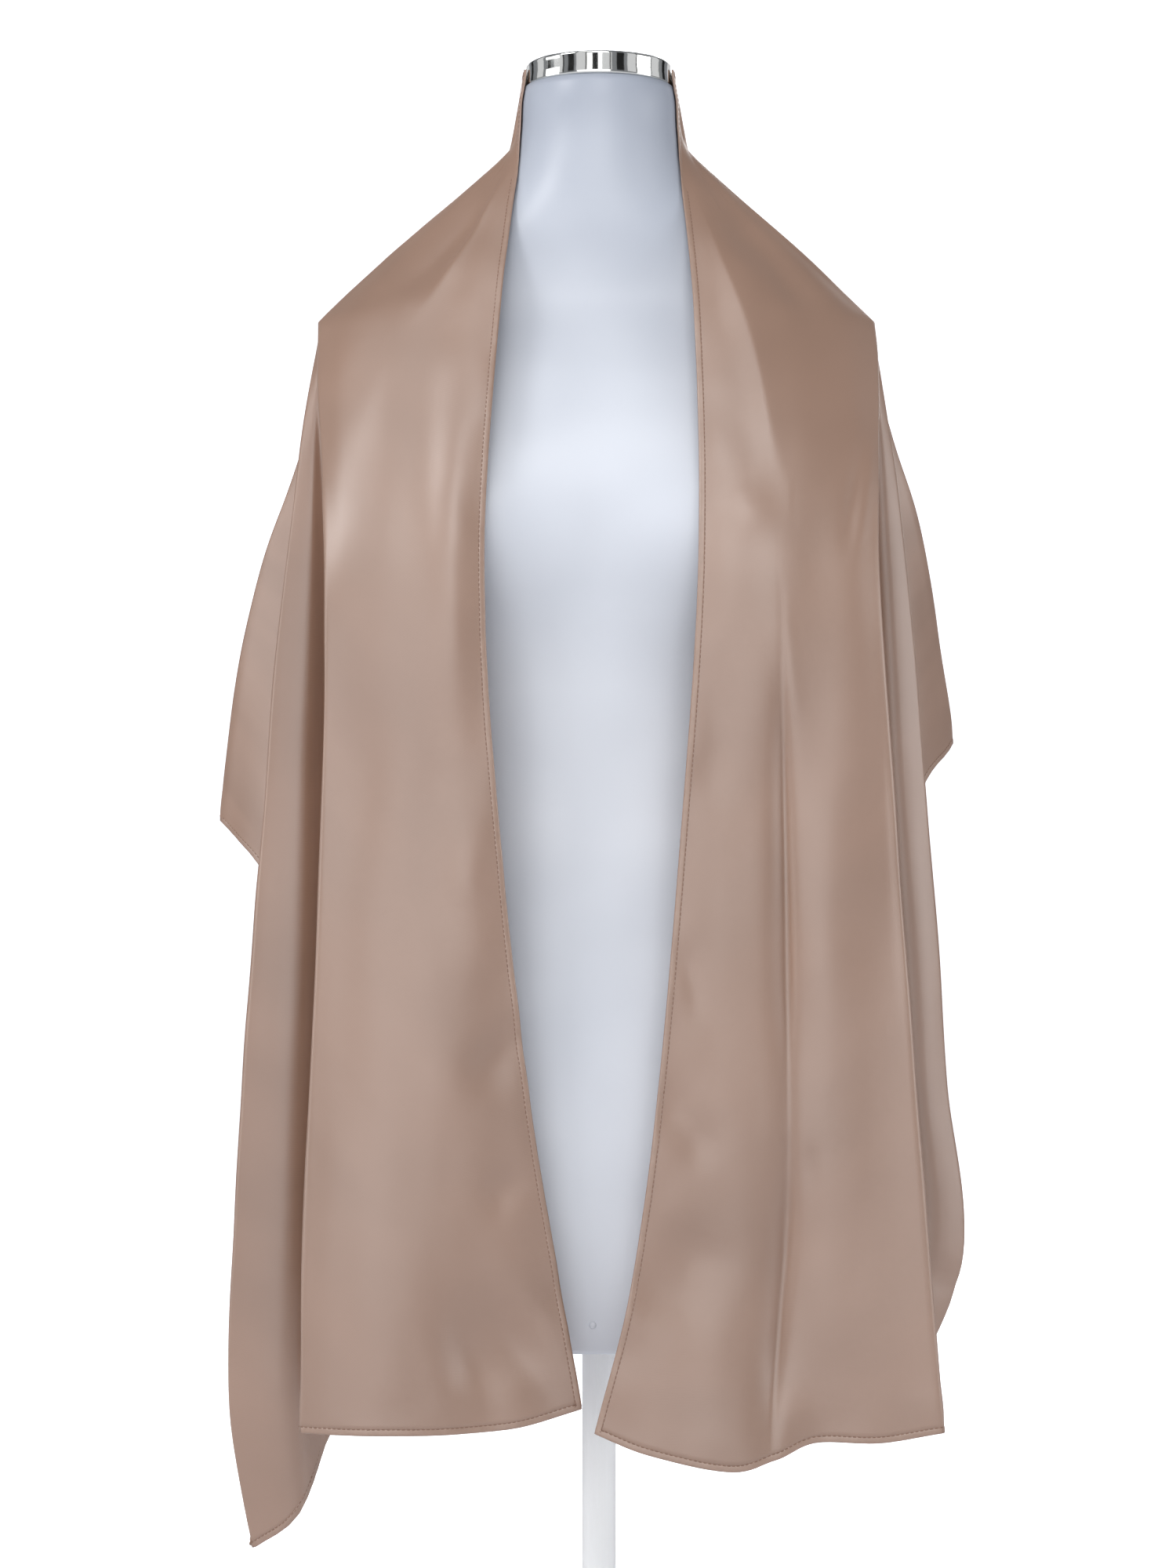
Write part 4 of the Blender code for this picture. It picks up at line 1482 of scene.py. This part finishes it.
@dataclass
class Studio:
    """The pale floor and backdrop, the soft lights and the camera."""

    camera_place: tuple[float, float, float] = (-0.00714, -2.0, 0.5618)
    lens_mm: float = 70.59
    film_mm: float = 36.0
    floor_half: float = 8.0
    sweep_from: float = 3.2
    sweep_radius: float = 1.0
    sweep_height: float = 4.5
    sweep_steps: int = 16
    beyond: str = "#FFFFFF"
    air: str = "#EEF1F6"
    air_strength: float = 0.28
    card_reach: float = 3.0
    card_heights: tuple[float, float] = (1.15, 2.6)
    flag_nearer: float = 0.12
    cards: tuple[Card, ...] = (
        Card(-150, 0.9, True), Card(-128, 0.35, False), Card(-104, 0.8, True), Card(-84, 0.3, False),
        Card(-66, 0.9, True), Card(-57, 0.12, False), Card(-44, 0.5, False), Card(-27, 0.9, True),
        Card(-20, 0.10, False), Card(-6, 0.45, False), Card(12, 0.8, True), Card(17, 0.08, False),
        Card(33, 0.6, False), Card(52, 0.8, True), Card(60, 0.10, False), Card(78, 0.5, False),
        Card(98, 0.9, True), Card(120, 0.4, False), Card(142, 0.8, True),
    )
    lights: tuple[Softbox, ...] = (
        Softbox("key_softbox", (0.1, -2.4, 2.35), (0.0, 0.0, 0.62), (1.1, 1.1), 17.0),
        Softbox("top_softbox", (-0.4, -1.1, 3.1), (0.0, 0.0, 0.8), (1.2, 1.2), 6.5),
        Softbox("left_softbox", (-2.1, -1.6, 2.5), (0.0, 0.0, 0.8), (1.0, 1.0), 29.0),
        Softbox("low_left_softbox", (-2.6, -0.6, 0.8), (-0.1, 0.0, 0.5), (1.2, 1.6), 12.0),
        Softbox("front_softbox", (-0.45, -3.1, 0.95), (0.0, 0.0, 0.7), (3.0, 2.0), 32.0),
        Softbox("right_softbox", (2.6, -0.75, 0.9), (0.1, 0.0, 0.6), (1.2, 1.6), 17.0),
        Softbox("back_softbox", (0.3, 2.8, 1.6), (0.0, 0.1, 0.6), (2.2, 1.6), 26.0, 120.0),
    )

    def stand_cards(self, glowing: Material, black: Material) -> None:
        """Stands the cards in a ring round the set, out of the camera's sight.

        Args:
            glowing: the material of the diffuser cards.
            black: the material of the flags.
        """
        for k, card in enumerate(self.cards):
            angle = math.radians(card.bearing - 90)
            reach = self.card_reach - (0.0 if card.glows else self.flag_nearer)
            ahead = np.array([math.cos(angle), math.sin(angle), 0.0])
            aside = np.array([-ahead[1], ahead[0], 0.0])
            low, high = self.card_heights
            points = [ahead * reach + aside * (card.width * s / 2) + (0.0, 0.0, z)
                      for s, z in ((-1, low), (1, low), (1, high), (-1, high))]
            stood = new_object(f"card_{k:02d}", points, [(0, 1, 2, 3)], glowing if card.glows else black)
            stood.visible_camera = False

    def build_floor(self, paper: Material) -> None:
        """Makes one sheet of paper that is the floor and curves up behind.

        Args:
            paper: the material.
        """
        profile = [(-self.floor_half, 0.0), (self.sweep_from, 0.0)]
        for k in range(1, self.sweep_steps + 1):
            angle = math.pi / 2 * k / self.sweep_steps
            profile.append((self.sweep_from + self.sweep_radius * math.sin(angle),
                            self.sweep_radius * (1 - math.cos(angle))))
        profile.append((self.sweep_from + self.sweep_radius, self.sweep_height))
        points = []
        for y, z in profile:
            points += [(-self.floor_half, y, z), (self.floor_half, y, z)]
        faces = [(2 * k, 2 * k + 1, 2 * k + 3, 2 * k + 2) for k in range(len(profile) - 1)]
        new_object("paper_sweep", points, faces, paper)

    def hang_lights(self) -> None:
        """Hangs the softboxes and sets the colour of the surrounding air."""
        for box in self.lights:
            light = bpy.data.lights.new(box.name, "AREA")
            light.shape = "RECTANGLE"
            light.size, light.size_y = box.size
            light.energy = box.watts
            light.spread = math.radians(box.spread)
            lamp = bpy.data.objects.new(box.name, light)
            lamp.location = box.place
            aim = Vector(box.aim) - Vector(box.place)
            lamp.rotation_euler = aim.to_track_quat("-Z", "Y").to_euler()
            lamp.visible_camera = False
            bpy.context.scene.collection.objects.link(lamp)
        world = bpy.data.worlds.new("studio_air")
        world.use_nodes = True
        tree = world.node_tree
        tree.nodes.clear()
        air = add_node(tree, "ShaderNodeBackground",
                       {"Color": linear(self.air), "Strength": self.air_strength})
        wall = add_node(tree, "ShaderNodeBackground", {"Color": linear(self.beyond), "Strength": 1.0})
        seen = add_node(tree, "ShaderNodeLightPath")
        both = add_node(tree, "ShaderNodeMixShader", None,
                        {0: seen.outputs["Is Camera Ray"], 1: air.outputs[0], 2: wall.outputs[0]})
        add_node(tree, "ShaderNodeOutputWorld", None, {0: both.outputs[0]})
        bpy.context.scene.world = world

    def place_camera(self) -> None:
        """Places the camera level in front, at the distance that the neck cap's curve gives."""
        camera = bpy.data.cameras.new("camera")
        camera.lens = self.lens_mm
        camera.sensor_width = self.film_mm
        camera.sensor_fit = "AUTO"
        holder = bpy.data.objects.new("camera", camera)
        holder.location = self.camera_place
        holder.rotation_euler = (math.pi / 2, 0, 0)
        bpy.context.scene.collection.objects.link(holder)
        bpy.context.scene.camera = holder
        bpy.context.scene.view_settings.view_transform = "Standard"


def report(pieces: list) -> None:
    """Logs each piece with its count of faces."""
    for piece in pieces:
        log.info("%s: %d faces", piece.name, len(piece.data.polygons))


def main() -> None:
    """Builds the studio, the dress form, the stand and the scarf, in that order."""
    logging.basicConfig(level=logging.INFO, format="%(name)s %(message)s")
    studio = Studio()
    studio.place_camera()
    studio.hang_lights()
    studio.build_floor(MattPaper().make())
    studio.stand_cards(DiffuserCloth().make(), BlackFlock().make())
    form = DressForm()
    report(form.build(SprayedShell().make()))
    report(NeckCap().build(BrightChrome().make()))
    report(Stand().dress(PowderCoat().make()))
    scarf = Scarf()
    scarf.lay_grid(form)
    scarf.lay_creases(CREASES, form)
    cloth = scarf.build_cloth(SatinWeave().make())
    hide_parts("scarf_left", "scarf_back", "scarf_right")
    hem = Hem()
    band = hem.build(scarf, TurnedHem().make())
    stitches = hem.build_stitches(scarf, SpunThread().make())
    report([cloth, band, stitches])


if __name__ == "__main__":
    main()
